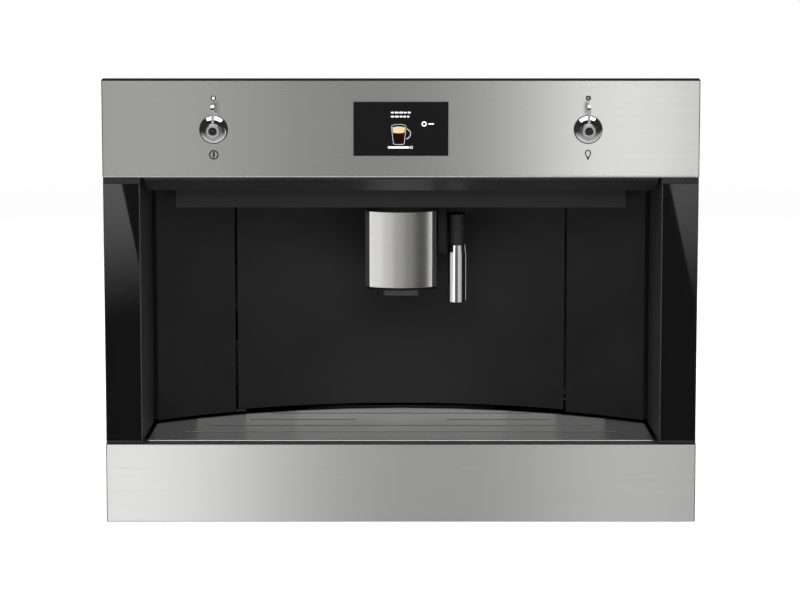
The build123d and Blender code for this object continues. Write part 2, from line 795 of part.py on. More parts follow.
def make_lever(x):
    front = -lever_proud
    hub_back = front + hub_length
    recess_floor = front + hub_recess_depth
    lever = level(hub_radius, x, selector_z, (front, hub_back))
    lever -= level(hub_recess_radius, x, selector_z, (front - over, recess_floor))
    lever += level(hub_screw_radius, x, selector_z, (front + over, recess_floor + over))
    root = selector_z + hub_radius - over
    tip = selector_z + lever_length
    bar_front = front + lever_setback
    bar = front_prism([(x - lever_root_width / 2, root), (x + lever_root_width / 2, root),
                       (x + lever_tip_width / 2, tip), (x - lever_tip_width / 2, tip)],
                      (bar_front, bar_front + lever_thickness))
    bar -= block((x - lever_tip_width, x + lever_tip_width), (bar_front, bar_front + lever_groove_depth),
                 (selector_z + lever_groove[0], selector_z + lever_groove[1]))
    lever += bar
    lever += level(shaft_radius, x, selector_z, (hub_back - over, shaft_end))
    return lever


# ---------------------------------------------------------------- pillars, lip and recess
def make_pillars():
    back = pillar_glass_front + pillar_glass_thickness
    glass = block((pillar_inner, pillar_outer), (pillar_glass_front, back), (pillar_bottom, pillar_top))
    inner_front_edge = glass.edges().filter_by(Axis.Z).sort_by(Axis.Y)[:2].sort_by(Axis.X)[0]
    keep("pillar_glasses", *both_sides(chamfer(inner_front_edge, pillar_bevel)))

    zs = (grille_top - pillar_frame_overlap, control_bottom - gap)
    step = recess_half_front + side_wall + gap
    seat = pillar_outer + glass_gap[0]
    outer = seat + pillar_rim
    frame = block((step, outer), (pillar_frame_front, fascia_depth), zs)
    frame += block((pillar_inner, step), (pillar_frame_front, back), zs)
    frame -= block((pillar_inner - over, seat), (0, back + glass_gap[0]),
                   (pillar_bottom - glass_gap[1], pillar_top + glass_gap[1]))
    frame -= block((step + pillar_frame_wall, outer - pillar_frame_wall),
                   (back + pillar_frame_wall, fascia_depth + over), inside(zs, pillar_frame_wall))
    keep("pillar_frames", *both_sides(frame))

    inner = lip_front + lip_edge
    points = [(lip_front, control_bottom - gap), (lip_front, lip_top), (lip_back, lip_bottom),
              (lip_back + lip_thickness, lip_bottom), (lip_back + lip_thickness, ceiling_bottom),
              (lip_back, ceiling_bottom), (lip_back, lip_bottom + lip_hem),
              (inner, lip_top + lip_face), (inner, control_bottom - gap)]
    keep("lip_baffle", side_prism(points, (-lip_half, lip_half)))


def make_recess():
    zs = (canopy_bottom, ceiling_bottom)
    back = deck_front - canopy_back_gap
    canopy = block((-inner_half, inner_half), (fascia_depth + flange_thickness, back),
                   (ceiling_bottom, ceiling_top))
    box = block((-canopy_half, canopy_half), (canopy_front, back), zs)
    box -= block(inside((-canopy_half, canopy_half), wall), (canopy_front + wall, back + over),
                 (canopy_bottom + wall, ceiling_bottom))
    over_door = block((-door_half, door_half), (0, back + over), zs)
    tail = upright(wall_radius + canopy_tail, 0, wall_axis, zs)
    box = box & (upright(wall_radius - slide_gap, 0, wall_axis, zs) + (over_door & tail))
    px, pd = pivot_axis()
    half = pivot_boss_half
    boss_z = (canopy_bottom, canopy_bottom + pivot_boss_height)
    box += block((px - half, px + half), (pd - half, pd + half), boss_z) & over_door
    box -= upright(pivot_radius + pivot_play, px, pd, (canopy_bottom - over, canopy_bottom + pivot_reach))
    keep("recess_canopy", canopy + box)

    right = recess_side()
    left = mirror(right, about=Plane.YZ)
    tab = block((-door_half - door_gap - pivot_tab_x[0], px + pivot_tab_x[1]),
                (pd - pivot_tab_depth[0], pd + pivot_tab_depth[1]),
                (side_panel_bottom, door_bottom - slide_gap))
    tab = tab - upright(pivot_radius + pivot_play, px, pd, (side_panel_bottom - over, door_bottom + over))
    keep("recess_wall_left", left + tab)
    keep("recess_wall_right", right)

    pins = [upright(pivot_radius, px, pd, (side_panel_bottom, door_bottom + pivot_engagement - pivot_end_gap)),
            upright(pivot_radius, px, pd, (door_top - pivot_engagement + pivot_end_gap,
                                           canopy_bottom + pivot_reach - gap))]
    keep("door_pivots", *pins)


def recess_side():
    """One side of the recess: a flat side wall, an upright groove and the fixed part of the curved wall."""
    zs = (side_panel_bottom, ceiling_bottom)
    edge = door_half + door_gap
    front = pillar_glass_front + pillar_glass_thickness + gap
    groove_back = groove_depth + wall
    side = plan_prism([(recess_half_front, front), (recess_half_front + side_wall, front),
                       (recess_half_back + side_wall, groove_back), (recess_half_back, groove_back),
                       (recess_half_back, recess_back_depth)], (side_wall_bottom, ceiling_bottom))
    side += block((groove_half - wall, recess_half_back + side_wall / 2), (groove_depth, groove_back), zs)
    side += block((groove_half - wall, groove_half),
                  (wall_depth(wall_radius, groove_half - wall), groove_depth + over), zs)
    side += curved(wall_radius, wall_radius + wall, (edge, groove_half), zs)
    side += curved(wall_radius + over, wall_radius + wall_seat, (edge, edge + wall_seat_width),
                   (zs[0] + wall_seat_rise, zs[1]))
    return side


def pivot_axis():
    x = -door_half + pivot_inset
    return x, wall_depth(wall_radius, x) + pivot_back


# ---------------------------------------------------------------- door and spouts
def make_door():
    zs = (door_bottom, door_top)
    xs = (-door_half, door_half)
    outer = wall_radius + door_rim_depth
    door = curved(wall_radius, outer, xs, zs)
    hollow_x = inside(xs, door_rim_width)
    door -= curved(wall_radius + door_skin, outer + over, hollow_x, inside(zs, door_rim_width))
    px, pd = pivot_axis()
    door -= upright(pivot_radius + running, px, pd, (door_bottom - over, door_bottom + pivot_engagement))
    door -= upright(pivot_radius + running, px, pd, (door_top - pivot_engagement, door_top + over))
    keep("service_door", door)

    z = (spout_bottom - column_tail, spout_top - column_drop)
    column = block((-column_half, column_half), (column_front, wall_deepest + over), z)
    keep("spout_column", in_front_of(wall_radius - wall_seat_gap, column, z))

    z = (bracket_top - bracket_height, bracket_top)
    inner = bracket_left + bracket_thickness
    beam_bottom = bracket_top - beam_height
    flange, flange_half_depth, flange_drop = beam_flange
    arm_front = water_depth + grip_radius + stub_arm_gap
    bracket = block((bracket_left, inner), (bracket_front, wall_deepest + over), z)
    bracket += block((bracket_left, beam_right), (water_depth - beam_half_depth, water_depth + beam_half_depth),
                     (beam_bottom, bracket_top))
    bracket += block((beam_right - flange, beam_right),
                     (water_depth - flange_half_depth, water_depth + flange_half_depth),
                     (beam_bottom - flange_drop, bracket_top))
    bracket += block((inner - over, water_x + stub_arm_half), (arm_front, wall_deepest + over),
                     (stub_z - stub_arm_half, stub_z + stub_arm_half))
    bracket = in_front_of(wall_radius - wall_seat_gap, bracket, z)
    bracket += level(stub_radius, water_x, stub_z, (water_depth + over, arm_front + over))
    keep("water_bracket", bracket)


def spout_plan(radius, half, z):
    """The spout's outline: a round front and flat sides."""
    centre = spout_front + spout_front_radius
    front = block((-half, half), (centre - radius - over, centre), z) & upright(radius, 0, centre, z)
    return front + block((-half, half), (centre - spout_front_radius / 2, spout_back), z)


def make_spout():
    centre = spout_front + spout_front_radius
    inner_radius = spout_front_radius - spout_cover_thickness
    zs = (spout_bottom, spout_top)
    cap = (spout_top - spout_cap_height, spout_top)
    body = spout_plan(inner_radius, spout_half, zs)
    body += spout_plan(spout_front_radius + spout_cap_proud, spout_half + spout_cap_side, cap)
    body -= block(inside((-column_half, column_half), -slide_gap),
                  (column_front - slide_gap, spout_back + over), zs)
    body -= nozzle_bores(spout_top - nozzle_bore_top)
    keep("spout_body", body)

    z = (spout_bottom + spout_cover_rise, cap[0])
    cover = upright(spout_front_radius, 0, centre, z) - upright(inner_radius, 0, centre, z)
    cover = cover & block((-spout_cover_half, spout_cover_half), (spout_front - over, centre), z)
    keep("spout_cover", cover)

    nozzle = block((-nozzle_half, nozzle_half), nozzle_depths, (spout_bottom - nozzle_height, spout_bottom))
    nozzle = chamfer(nozzle.edges().filter_by(Axis.Z), nozzle_corner)
    keep("nozzle_block", nozzle - nozzle_bores(spout_bottom + over))


def nozzle_bores(top):
    z = (spout_bottom - nozzle_height - over, top)
    bore = upright(nozzle_bore_radius, nozzle_bore_x, middle(nozzle_depths), z)
    return bore + mirror(bore, about=Plane.YZ)


def make_water_spout():
    grip = upright(grip_radius, water_x, water_depth, (grip_bottom, grip_top))
    grip = fillet(grip.edges().sort_by(Axis.Z)[-1], grip_round)
    grip -= level(stub_radius + running, water_x, stub_z,
                  (water_depth + over / 2, water_depth + grip_radius + over))
    grip -= upright(water_bore_radius, water_x, water_depth, (grip_bottom - over, stub_z))
    keep("water_grip", grip)

    sleeve = upright(sleeve_radius, water_x, water_depth, (sleeve_bottom, sleeve_shoulder))
    shoulder = Pos(water_x, y_at(water_depth), (sleeve_shoulder + grip_bottom) / 2)
    sleeve += shoulder * Cone(sleeve_radius, grip_radius + shoulder_gap, shoulder_height)
    sleeve = chamfer(sleeve.edges().sort_by(Axis.Z)[0], sleeve_edge)
    sleeve -= upright(sleeve_bore_radius, water_x, water_depth,
                      (sleeve_bottom - over, sleeve_bottom + sleeve_bore_depth))
    sleeve -= upright(water_bore_radius, water_x, water_depth, (sleeve_bottom, grip_bottom + over))
    keep("water_sleeve", sleeve)


# ---------------------------------------------------------------- drawer
def tray_outline(inset, front, z):
    """The grille's outline, drawn in all round by an inset: slanted sides and a curved back."""
    half_front = grille_half_front - inset
    half_back = grille_half_back - inset
    back = wall_deepest + over
    outline = plan_prism([(-half_front, front), (half_front, front),
                          (half_back, grille_corner), (half_back, back),
                          (-half_back, back), (-half_back, grille_corner)], z)
    return in_front_of(grille_radius - inset, outline, z)


def make_drawer():
    full_x = (-front_half, front_half)
    zs = (0, lower_height)
    panel = block(full_x, (0, lower_panel_depth), zs)
    front_edges = panel.edges().filter_by_position(Axis.Y, y_at(0), y_at(0))
    panel = fillet(front_edges, edge_round)
    panel -= block(inside(full_x, sheet), (sheet, lower_panel_depth + over), inside(zs, sheet))
    panel -= block(inside(full_x, -over), (lower_top_return, lower_panel_depth + over),
                   (lower_height - sheet, lower_height + over))
    keep("lower_panel", panel)

    carrier_x = inside(full_x, sheet + gap)
    drawer_x = (-drawer_half, drawer_half)
    edge_z = (drawer_plate[1], drawer_plate[1] + drawer_edge_height)
    carrier = block(carrier_x, (sheet, drawer_skin), inside(zs, sheet + gap))
    carrier += block(carrier_x, (lower_top_return + gap, lower_panel_depth),
                     (beam_top - drawer_rail_height, beam_top))
    carrier += block(drawer_x, (drawer_skin - over, drawer_back), drawer_plate)
    for x in (-drawer_foot_x, drawer_foot_x):
        carrier += block((x - drawer_foot_half, x + drawer_foot_half), (drawer_foot_front, drawer_back),
                         (chassis_bottom + chassis_sheet + slide_gap, drawer_plate[0]))
    walls = block(drawer_x, (drawer_skin - over, drawer_back), edge_z)
    walls -= block(inside(drawer_x, drawer_edge), (0, drawer_back - drawer_edge), edge_z)
    keep("drawer_carrier", carrier + walls)

    grille = tray_outline(0, grille_front, (grille_top - grille_thickness, grille_top))
    for depth, inner, outer in slot_rows:
        if inner:
            grille -= slot_cut(-outer, -inner, depth) + slot_cut(inner, outer, depth)
        else:
            grille -= slot_cut(-outer, outer, depth)
    keep("cup_grille", grille)

    front = lower_panel_depth + gap
    tray = tray_outline(tray_inset, front, (drawer_plate[1], beam_top))
    tray -= tray_outline(tray_inset + tray_wall, front + tray_wall,
                         (drawer_plate[1] + tray_wall, beam_top + over))
    keep("drip_tray", tray)

    xs = (-container_half, container_half)
    depths = (container_front, drawer_back - drawer_edge - gap)
    container_top = door_bottom - container_drop
    container = block(xs, depths, (drawer_plate[1], container_top))
    container -= block(inside(xs, container_wall), inside(depths, container_wall),
                       (drawer_plate[1] + container_wall, container_top + over))
    keep("grounds_container", container)


def slot_cut(low, high, depth):
    radius = slot_width / 2
    z = (grille_top - grille_thickness - over, grille_top + over)
    slot = block((low + radius, high - radius), (depth - radius, depth + radius), z)
    return slot + upright(radius, low + radius, depth, z) + upright(radius, high - radius, depth, z)


# ---------------------------------------------------------------- works
def make_grinder():
    bore = burr_shaft_radius + running
    motor = upright(motor_radius, grinder_x, grinder_depth, (deck_top, motor_top))
    motor -= upright(bore, grinder_x, grinder_depth, (motor_top - burr_shaft_length - over, motor_top + over))
    keep("grinder_motor", motor)

    inner = housing_radius - housing_wall
    housing = upright(housing_radius, grinder_x, grinder_depth, (motor_top, grinder_top))
    housing -= upright(inner, grinder_x, grinder_depth, (motor_top + housing_wall, grinder_top + over))
    housing -= upright(bore, grinder_x, grinder_depth, (motor_top - over, motor_top + burr_bearing))
    keep("grinder_housing", housing)

    burr_bottom = grinder_top - burr_drop
    place = Pos(grinder_x, y_at(grinder_depth), burr_bottom + burr_height / 2)
    upper = place * Cylinder(inner - burr_seat, burr_height)
    upper -= place * Cone(burr_wide, burr_narrow, burr_height)
    keep("upper_burr", upper)

    lower = place * Cone(burr_wide - burr_gap, burr_narrow - burr_gap, burr_height)
    lower += upright(burr_shaft_radius, grinder_x, grinder_depth,
                     (motor_top - burr_shaft_length, burr_bottom + over))
    keep("lower_burr", lower)


def make_brew_unit():
    xs = (-brew_half, brew_half)
    frame = block(xs, brew_depth, (deck_top, brew_top))
    frame -= block(inside(xs, brew_wall), (brew_depth[0] - over, brew_depth[1] - brew_wall),
                   (brew_base, brew_top - brew_roof))
    frame -= block((-chute_half, chute_half), chute_depth, (deck_top - over, brew_base + over))
    bore = funnel_outlet_half - tank_wall
    x, depth = middle(funnel_x), middle(funnel_depth)
    frame -= block((x - bore, x + bore), (depth - bore, depth + bore),
                   (brew_top - brew_roof - over, brew_top + over))
    keep("brew_frame", frame)

    chamber_z = (chamber_bottom, chamber_bottom + chamber_height)
    chamber = upright(chamber_bore + chamber_wall, 0, brew_axis_depth, chamber_z)
    arm_z = (chamber_bottom + chamber_arm[0], chamber_bottom + chamber_arm[1])
    arm_depth = (brew_axis_depth - chamber_arm_half, brew_axis_depth + chamber_arm_half)
    chamber += block(inside(xs, brew_wall + gap), arm_depth, arm_z)
    chamber -= upright(chamber_bore, 0, brew_axis_depth, inside(chamber_z, -over))
    keep("brew_chamber", chamber)

    piston = upright(chamber_bore - piston_play, 0, brew_axis_depth,
                     (piston_bottom, piston_bottom + piston_thickness))
    rod_bottom = piston_bottom - rod_length
    piston += upright(rod_radius, 0, brew_axis_depth, (rod_bottom, piston_bottom + over))
    piston -= upright(spindle_radius + running, 0, brew_axis_depth, (rod_bottom - over, piston_bottom))
    keep("brew_piston", piston)

    spindle = upright(spindle_radius, 0, brew_axis_depth,
                      (gearbox_top + spindle_thread_gap, gearbox_top + spindle_length))
    spindle += upright(spindle_collar, 0, brew_axis_depth,
                       (gearbox_top + slide_gap, gearbox_top + spindle_collar_height))
    spindle += upright(journal_radius, 0, brew_axis_depth, (gearbox_top - journal_length, gearbox_top + over))
    keep("brew_spindle", spindle)

    motor = block((-gearbox_half, gearbox_half), (gearbox_front, brew_depth[1] - brew_wall),
                  (brew_base, gearbox_top))
    motor -= upright(journal_radius + running, 0, brew_axis_depth,
                     (gearbox_top - journal_length - journal_end_gap, gearbox_top + over))
    motor += upright(brew_motor_radius, 0, brew_motor_depth,
                     (gearbox_top - over, gearbox_top + brew_motor_height))
    keep("brew_motor", motor)


def make_water_works():
    heater_bottom = deck_top + heater_rise
    depths = (brew_depth[1], brew_depth[1] + heater_thickness)
    half_groove, groove_reach = heater_groove
    heater = block((-heater_half, heater_half), depths, (heater_bottom, heater_bottom + heater_height))
    for number in range(heater_rib_count):
        z = heater_bottom + (number + 1) * heater_rib_pitch
        heater -= block((-heater_half - over, heater_half + over),
                        (depths[1] - groove_reach, depths[1] + over), (z - half_groove, z + half_groove))
    pipe_x = (-heater_half - heater_pipe_reach, heater_half + heater_pipe_reach)
    for z in inside((heater_bottom, heater_bottom + heater_height), heater_pipe_inset):
        heater += crosswise(heater_pipe_radius, depths[0] + heater_pipe_depth, z, pipe_x)
    keep("thermoblock", heater)

    pump_z = deck_top + pump_rise
    head_radius, head_length = pump_head
    outlet_radius, outlet_length = pump_outlet
    pump = crosswise(pump_radius, pump_depth, pump_z, pump_x)
    pump += crosswise(head_radius, pump_depth, pump_z, (pump_x[0] - head_length, pump_x[0] + over))
    pump += crosswise(outlet_radius, pump_depth, pump_z, (pump_x[1] - over, pump_x[1] + outlet_length))
    saddle_depth = (pump_depth - pump_saddle_half, pump_depth + pump_saddle_half)
    pump += block(inside(pump_x, pump_saddle_inset), saddle_depth, (deck_top, deck_top + pump_saddle_height))
    keep("pump", pump)

    back = -inner_half + power_gap
    face = back + board_thickness
    bottom = deck_top + power_rise
    board = block((back, face), power_depth, (bottom, bottom + power_height))
    for depth in inside(power_depth, power_standoff_inset):
        for z in inside((bottom, bottom + power_height), power_standoff_inset):
            board += crosswise(power_standoff, depth, z, (-inner_half, back + over))
    inset, side, proud = transformer
    board += block((face - over, face + proud), (power_depth[0] + inset, power_depth[0] + inset + side),
                   (bottom + inset, bottom + inset + side))
    side, proud = relay
    for start in relay_starts:
        board += block((face - over, face + proud), (power_depth[0] + start, power_depth[0] + start + side),
                       (bottom + inset, bottom + inset + side))
    radius, along, up, proud = capacitor
    board += crosswise(radius, power_depth[0] + along, bottom + up, (face - over, face + proud))
    keep("power_board", board)


make_rails()
make_chassis()
make_top()
make_hopper()
make_tank()
make_control_panel()
make_pillars()
make_recess()
make_door()
make_spout()
make_water_spout()
make_drawer()
make_grinder()
make_brew_unit()
make_water_works()

os.makedirs("parts", exist_ok=True)
for name, shape in pieces.items():
    export_step(shape, f"parts/{name}.step")
print(len(pieces), "pieces written")
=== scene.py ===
import math

import bmesh
import bpy
from mathutils import Matrix, Vector


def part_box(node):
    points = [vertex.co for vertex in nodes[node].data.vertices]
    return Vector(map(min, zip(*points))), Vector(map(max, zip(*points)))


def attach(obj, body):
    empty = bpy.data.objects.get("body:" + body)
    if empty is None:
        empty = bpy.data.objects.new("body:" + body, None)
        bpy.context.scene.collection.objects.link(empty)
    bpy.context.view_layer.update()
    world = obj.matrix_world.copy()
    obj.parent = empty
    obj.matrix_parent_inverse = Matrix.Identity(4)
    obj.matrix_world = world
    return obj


# Built-in coffee machine: finishes, small trim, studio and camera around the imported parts.
# Everything is in metres: X to the right, Y into the cabinet, Z up.

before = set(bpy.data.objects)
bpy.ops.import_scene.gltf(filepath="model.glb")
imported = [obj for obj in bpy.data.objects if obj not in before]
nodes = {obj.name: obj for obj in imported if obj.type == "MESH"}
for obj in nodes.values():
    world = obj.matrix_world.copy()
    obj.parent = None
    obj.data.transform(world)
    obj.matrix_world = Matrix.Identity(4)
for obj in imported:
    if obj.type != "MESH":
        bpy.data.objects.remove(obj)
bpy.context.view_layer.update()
scene = bpy.context.scene
mm = 0.001
print("frame loaded:", len(nodes), "parts")

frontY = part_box("lower_panel")[0].y      # front face of the steel panels


# node helpers

def addNode(tree, kind, **values):
    node = tree.nodes.new(kind)
    for name, value in values.items():
        setattr(node, name, value)
    return node


def feed(tree, source, target):
    # source is a socket, a number or a colour
    if isinstance(source, bpy.types.NodeSocket):
        tree.links.new(source, target)
    else:
        target.default_value = source


def doMath(tree, operation, first, second=0.0, clamp=False):
    node = addNode(tree, "ShaderNodeMath", operation=operation, use_clamp=clamp)
    feed(tree, first, node.inputs[0])
    feed(tree, second, node.inputs[1])
    return node.outputs[0]


def mapRange(tree, value, low, high, toLow=0.0, toHigh=1.0, smooth=False):
    node = addNode(tree, "ShaderNodeMapRange")
    node.interpolation_type = "SMOOTHSTEP" if smooth else "LINEAR"
    for source, socket in zip((value, low, high, toLow, toHigh), range(5)):
        feed(tree, source, node.inputs[socket])
    return node.outputs[0]


def mixColor(tree, factor, first, second):
    node = addNode(tree, "ShaderNodeMix", data_type="RGBA")
    feed(tree, factor, node.inputs[0])
    feed(tree, first, node.inputs[6])
    feed(tree, second, node.inputs[7])
    return node.outputs[2]


def objectPoint(tree):
    return addNode(tree, "ShaderNodeTexCoord").outputs["Object"]


def makeGroup(name, inputs, outputs):
    # inputs: name -> (socket type, default); outputs: name -> socket type
    group = bpy.data.node_groups.new(name, "ShaderNodeTree")
    for label, (kind, default) in inputs.items():
        socket = group.interface.new_socket(label, in_out="INPUT", socket_type=kind)
        socket.default_value = default
    for label, kind in outputs.items():
        group.interface.new_socket(label, in_out="OUTPUT", socket_type=kind)
    return group, addNode(group, "NodeGroupInput").outputs, addNode(group, "NodeGroupOutput").inputs


def useGroup(tree, group, **values):
    node = addNode(tree, "ShaderNodeGroup", node_tree=group)
    for name, value in values.items():
        feed(tree, value, node.inputs[name])
    return node.outputs


def noise(tree, point, scale, detail=2.0, roughness=0.5):
    node = addNode(tree, "ShaderNodeTexNoise")
    feed(tree, point, node.inputs["Vector"])
    feed(tree, scale, node.inputs["Scale"])
    node.inputs["Detail"].default_value = detail
    node.inputs["Roughness"].default_value = roughness
    return node.outputs["Fac"]


def stretched(tree, point, stretch):
    node = addNode(tree, "ShaderNodeVectorMath", operation="MULTIPLY")
    feed(tree, point, node.inputs[0])
    feed(tree, stretch, node.inputs[1])
    return node.outputs[0]


# shared effects

# brushed lines: Stretch gives the lines per metre along each axis
brushedLines, given, out = makeGroup(
    "brushedLines", {"Stretch": ("NodeSocketVector", (8, 900, 900))},
    {"Fine": "NodeSocketFloat", "Broad": "NodeSocketFloat"})
point = objectPoint(brushedLines)
lines = stretched(brushedLines, point, given["Stretch"])
feed(brushedLines, noise(brushedLines, lines, 1.0, 3.0, 0.7), out["Fine"])
feed(brushedLines, noise(brushedLines, lines, 0.12, 2.0, 0.5), out["Broad"])

# moulded grain: the fine pebble of an eroded mould, and slow changes of gloss
mouldedGrain, given, out = makeGroup(
    "mouldedGrain", {"Pebbles": ("NodeSocketFloat", 2200.0), "Patches": ("NodeSocketFloat", 14.0)},
    {"Pebble": "NodeSocketFloat", "Patch": "NodeSocketFloat"})
point = objectPoint(mouldedGrain)
feed(mouldedGrain, noise(mouldedGrain, point, given["Pebbles"], 2.0, 0.6), out["Pebble"])
feed(mouldedGrain, noise(mouldedGrain, point, given["Patches"], 3.0, 0.55), out["Patch"])

# zinc flowers: flat crystals of different greys, as on coated sheet
zincFlowers, given, out = makeGroup(
    "zincFlowers", {"Scale": ("NodeSocketFloat", 90.0)},
    {"Crystal": "NodeSocketFloat", "Shade": "NodeSocketFloat"})
point = objectPoint(zincFlowers)
bent = addNode(zincFlowers, "ShaderNodeVectorMath", operation="MULTIPLY_ADD")
wobble = addNode(zincFlowers, "ShaderNodeTexNoise")
wobble.inputs["Scale"].default_value = 60.0
zincFlowers.links.new(point, wobble.inputs["Vector"])
zincFlowers.links.new(wobble.outputs["Color"], bent.inputs[0])
bent.inputs[1].default_value = (0.012, 0.012, 0.012)
zincFlowers.links.new(point, bent.inputs[2])
cells = addNode(zincFlowers, "ShaderNodeTexVoronoi")
zincFlowers.links.new(bent.outputs[0], cells.inputs["Vector"])
zincFlowers.links.new(given["Scale"], cells.inputs["Scale"])
split = addNode(zincFlowers, "ShaderNodeSeparateColor")
zincFlowers.links.new(cells.outputs["Color"], split.inputs[0])
zincFlowers.links.new(split.outputs[0], out["Crystal"])
feed(zincFlowers, noise(zincFlowers, point, 7.0, 3.0, 0.5), out["Shade"])
print("shared effects made")


# finishes

def startMaterial(name, **constants):
    material = bpy.data.materials.new(name)
    material.use_nodes = True
    tree = material.node_tree
    shader = next(n for n in tree.nodes if n.type == "BSDF_PRINCIPLED")
    for label, value in constants.items():
        socket = label.replace("_", " ")
        if socket == "Base Color" and len(value) == 3:
            value = (*value, 1.0)
        shader.inputs[socket].default_value = value
    return material, tree, shader


def bumpInto(tree, shader, height, strength, distance, normal=None):
    bump = addNode(tree, "ShaderNodeBump")
    bump.inputs["Strength"].default_value = strength
    bump.inputs["Distance"].default_value = distance
    feed(tree, height, bump.inputs["Height"])
    if normal is not None:
        tree.links.new(normal, bump.inputs["Normal"])
    tree.links.new(bump.outputs[0], shader.inputs["Normal"])


def softEdge(tree, radius):
    node = addNode(tree, "ShaderNodeBevel", samples=4)
    node.inputs["Radius"].default_value = radius
    return node.outputs[0]


steelLook = {
    "brushedSteel": dict(light=(0.64, 0.638, 0.63), dark=(0.59, 0.588, 0.58), rough=0.25, spread=0.05,
                         stretch=(5, 1500, 1500), anisotropic=0.55, bump=0.006),
    "spoutSteel": dict(light=(0.63, 0.625, 0.61), dark=(0.54, 0.535, 0.525), rough=0.22, spread=0.06,
                       stretch=(30, 30, 1500), anisotropic=0.5, bump=0.03),
    "traySteel": dict(light=(0.50, 0.50, 0.49), dark=(0.42, 0.42, 0.415), rough=0.33, spread=0.06,
                      stretch=(9, 1100, 1100), anisotropic=0.35, bump=0.03),
    "leverSteel": dict(light=(0.72, 0.72, 0.71), dark=(0.64, 0.64, 0.63), rough=0.27, spread=0.05,
                       stretch=(900, 900, 40), anisotropic=0.2, bump=0.02),
    "groundSteel": dict(light=(0.60, 0.60, 0.61), dark=(0.48, 0.48, 0.49), rough=0.24, spread=0.10,
                        stretch=(900, 20, 900), anisotropic=0.3, bump=0.03),
    "burrSteel": dict(light=(0.52, 0.52, 0.53), dark=(0.40, 0.40, 0.41), rough=0.30, spread=0.08,
                      stretch=(700, 700, 90), anisotropic=0.2, bump=0.05),
}


def makeSteel(name):
    look = steelLook[name]
    material, tree, shader = startMaterial(name, Metallic=1.0, Anisotropic=look["anisotropic"])
    lines = useGroup(tree, brushedLines, Stretch=look["stretch"])
    tone = doMath(tree, "ADD", doMath(tree, "MULTIPLY", lines["Fine"], 0.55),
                  doMath(tree, "MULTIPLY", lines["Broad"], 0.45))
    tree.links.new(mixColor(tree, tone, (*look["dark"], 1), (*look["light"], 1)), shader.inputs["Base Color"])
    rough = mapRange(tree, lines["Fine"], 0.3, 0.7, look["rough"] - look["spread"] / 2,
                     look["rough"] + look["spread"] / 2)
    tree.links.new(rough, shader.inputs["Roughness"])
    bumpInto(tree, shader, lines["Fine"], look["bump"], 0.0002, softEdge(tree, 0.0003))
    return material


plasticLook = {
    "blackPlastic": dict(color=(0.0150, 0.0150, 0.0155), worn=(0.019, 0.019, 0.0195), rough=(0.38, 0.48),
                         pebbles=2600.0, bump=0.10),
    # painted light: linerPlastic gives the flat side walls further out a paler colour, standing in for the
    # light falling on them
    "linerPlastic": dict(color=(0.0145, 0.0145, 0.0150), worn=(0.0185, 0.0185, 0.0190), rough=(0.38, 0.48),
                         pebbles=2600.0, bump=0.10, sides=0.2564, paintedLightColor=(0.043, 0.043, 0.044)),
    "spoutPlastic": dict(color=(0.042, 0.042, 0.043), worn=(0.054, 0.054, 0.055), rough=(0.30, 0.40),
                         pebbles=3000.0, bump=0.06),
    "gripPlastic": dict(color=(0.022, 0.022, 0.023), worn=(0.030, 0.030, 0.031), rough=(0.26, 0.36),
                        pebbles=3000.0, bump=0.06),
    "nozzlePlastic": dict(color=(0.055, 0.055, 0.057), worn=(0.075, 0.075, 0.077), rough=(0.32, 0.42),
                          pebbles=3000.0, bump=0.06),
    # painted shade: near-black, darker than the other black plastics, for the spout column and water bracket
    # that sit in the shade under the canopy
    "shadePaintedPlastic": dict(color=(0.0030, 0.0030, 0.0032), worn=(0.0050, 0.0050, 0.0052), rough=(0.55, 0.65),
                        pebbles=2600.0, bump=0.10),
    "greyPlastic": dict(color=(0.17, 0.17, 0.18), worn=(0.22, 0.22, 0.23), rough=(0.38, 0.50),
                        pebbles=2400.0, bump=0.10),
    "motorPaint": dict(color=(0.05, 0.05, 0.055), worn=(0.085, 0.085, 0.09), rough=(0.30, 0.48),
                       pebbles=1400.0, bump=0.14),
    "castAluminium": dict(color=(0.52, 0.52, 0.53), worn=(0.66, 0.66, 0.66), rough=(0.42, 0.58),
                          pebbles=1500.0, bump=0.35, metallic=1.0),
    "pumpBrass": dict(color=(0.52, 0.37, 0.15), worn=(0.68, 0.52, 0.25), rough=(0.22, 0.38),
                      pebbles=900.0, bump=0.10, metallic=1.0),
}


def makePlastic(name):
    look = plasticLook[name]
    material, tree, shader = startMaterial(name, Metallic=look.get("metallic", 0.0))
    grain = useGroup(tree, mouldedGrain, Pebbles=look["pebbles"])
    color = mixColor(tree, grain["Patch"], (*look["color"], 1), (*look["worn"], 1))
    if "sides" in look:      # painted light: further out than this the walls get a paler colour, standing in for the light that falls on the flat side walls
        axes = addNode(tree, "ShaderNodeSeparateXYZ")
        tree.links.new(objectPoint(tree), axes.inputs[0])
        out = doMath(tree, "GREATER_THAN", doMath(tree, "ABSOLUTE", axes.outputs["X"]), look["sides"])
        color = mixColor(tree, out, color, (*look["paintedLightColor"], 1))
    tree.links.new(color, shader.inputs["Base Color"])
    low, high = look["rough"]
    tree.links.new(mapRange(tree, grain["Patch"], 0.3, 0.7, low, high), shader.inputs["Roughness"])
    bumpInto(tree, shader, grain["Pebble"], look["bump"], 0.0002, softEdge(tree, 0.0005))
    return material


chromeLook = dict(color=(0.80, 0.80, 0.81), haze=(0.72, 0.72, 0.73), rough=(0.03, 0.08))


def makeChrome():
    material, tree, shader = startMaterial("chrome", Metallic=1.0)
    grain = useGroup(tree, mouldedGrain, Pebbles=900.0, Patches=60.0)
    tree.links.new(mixColor(tree, grain["Patch"], (*chromeLook["color"], 1), (*chromeLook["haze"], 1)),
                   shader.inputs["Base Color"])
    low, high = chromeLook["rough"]
    tree.links.new(mapRange(tree, grain["Patch"], 0.35, 0.75, low, high), shader.inputs["Roughness"])
    bumpInto(tree, shader, grain["Patch"], 0.02, 0.0001, softEdge(tree, 0.0003))
    return material


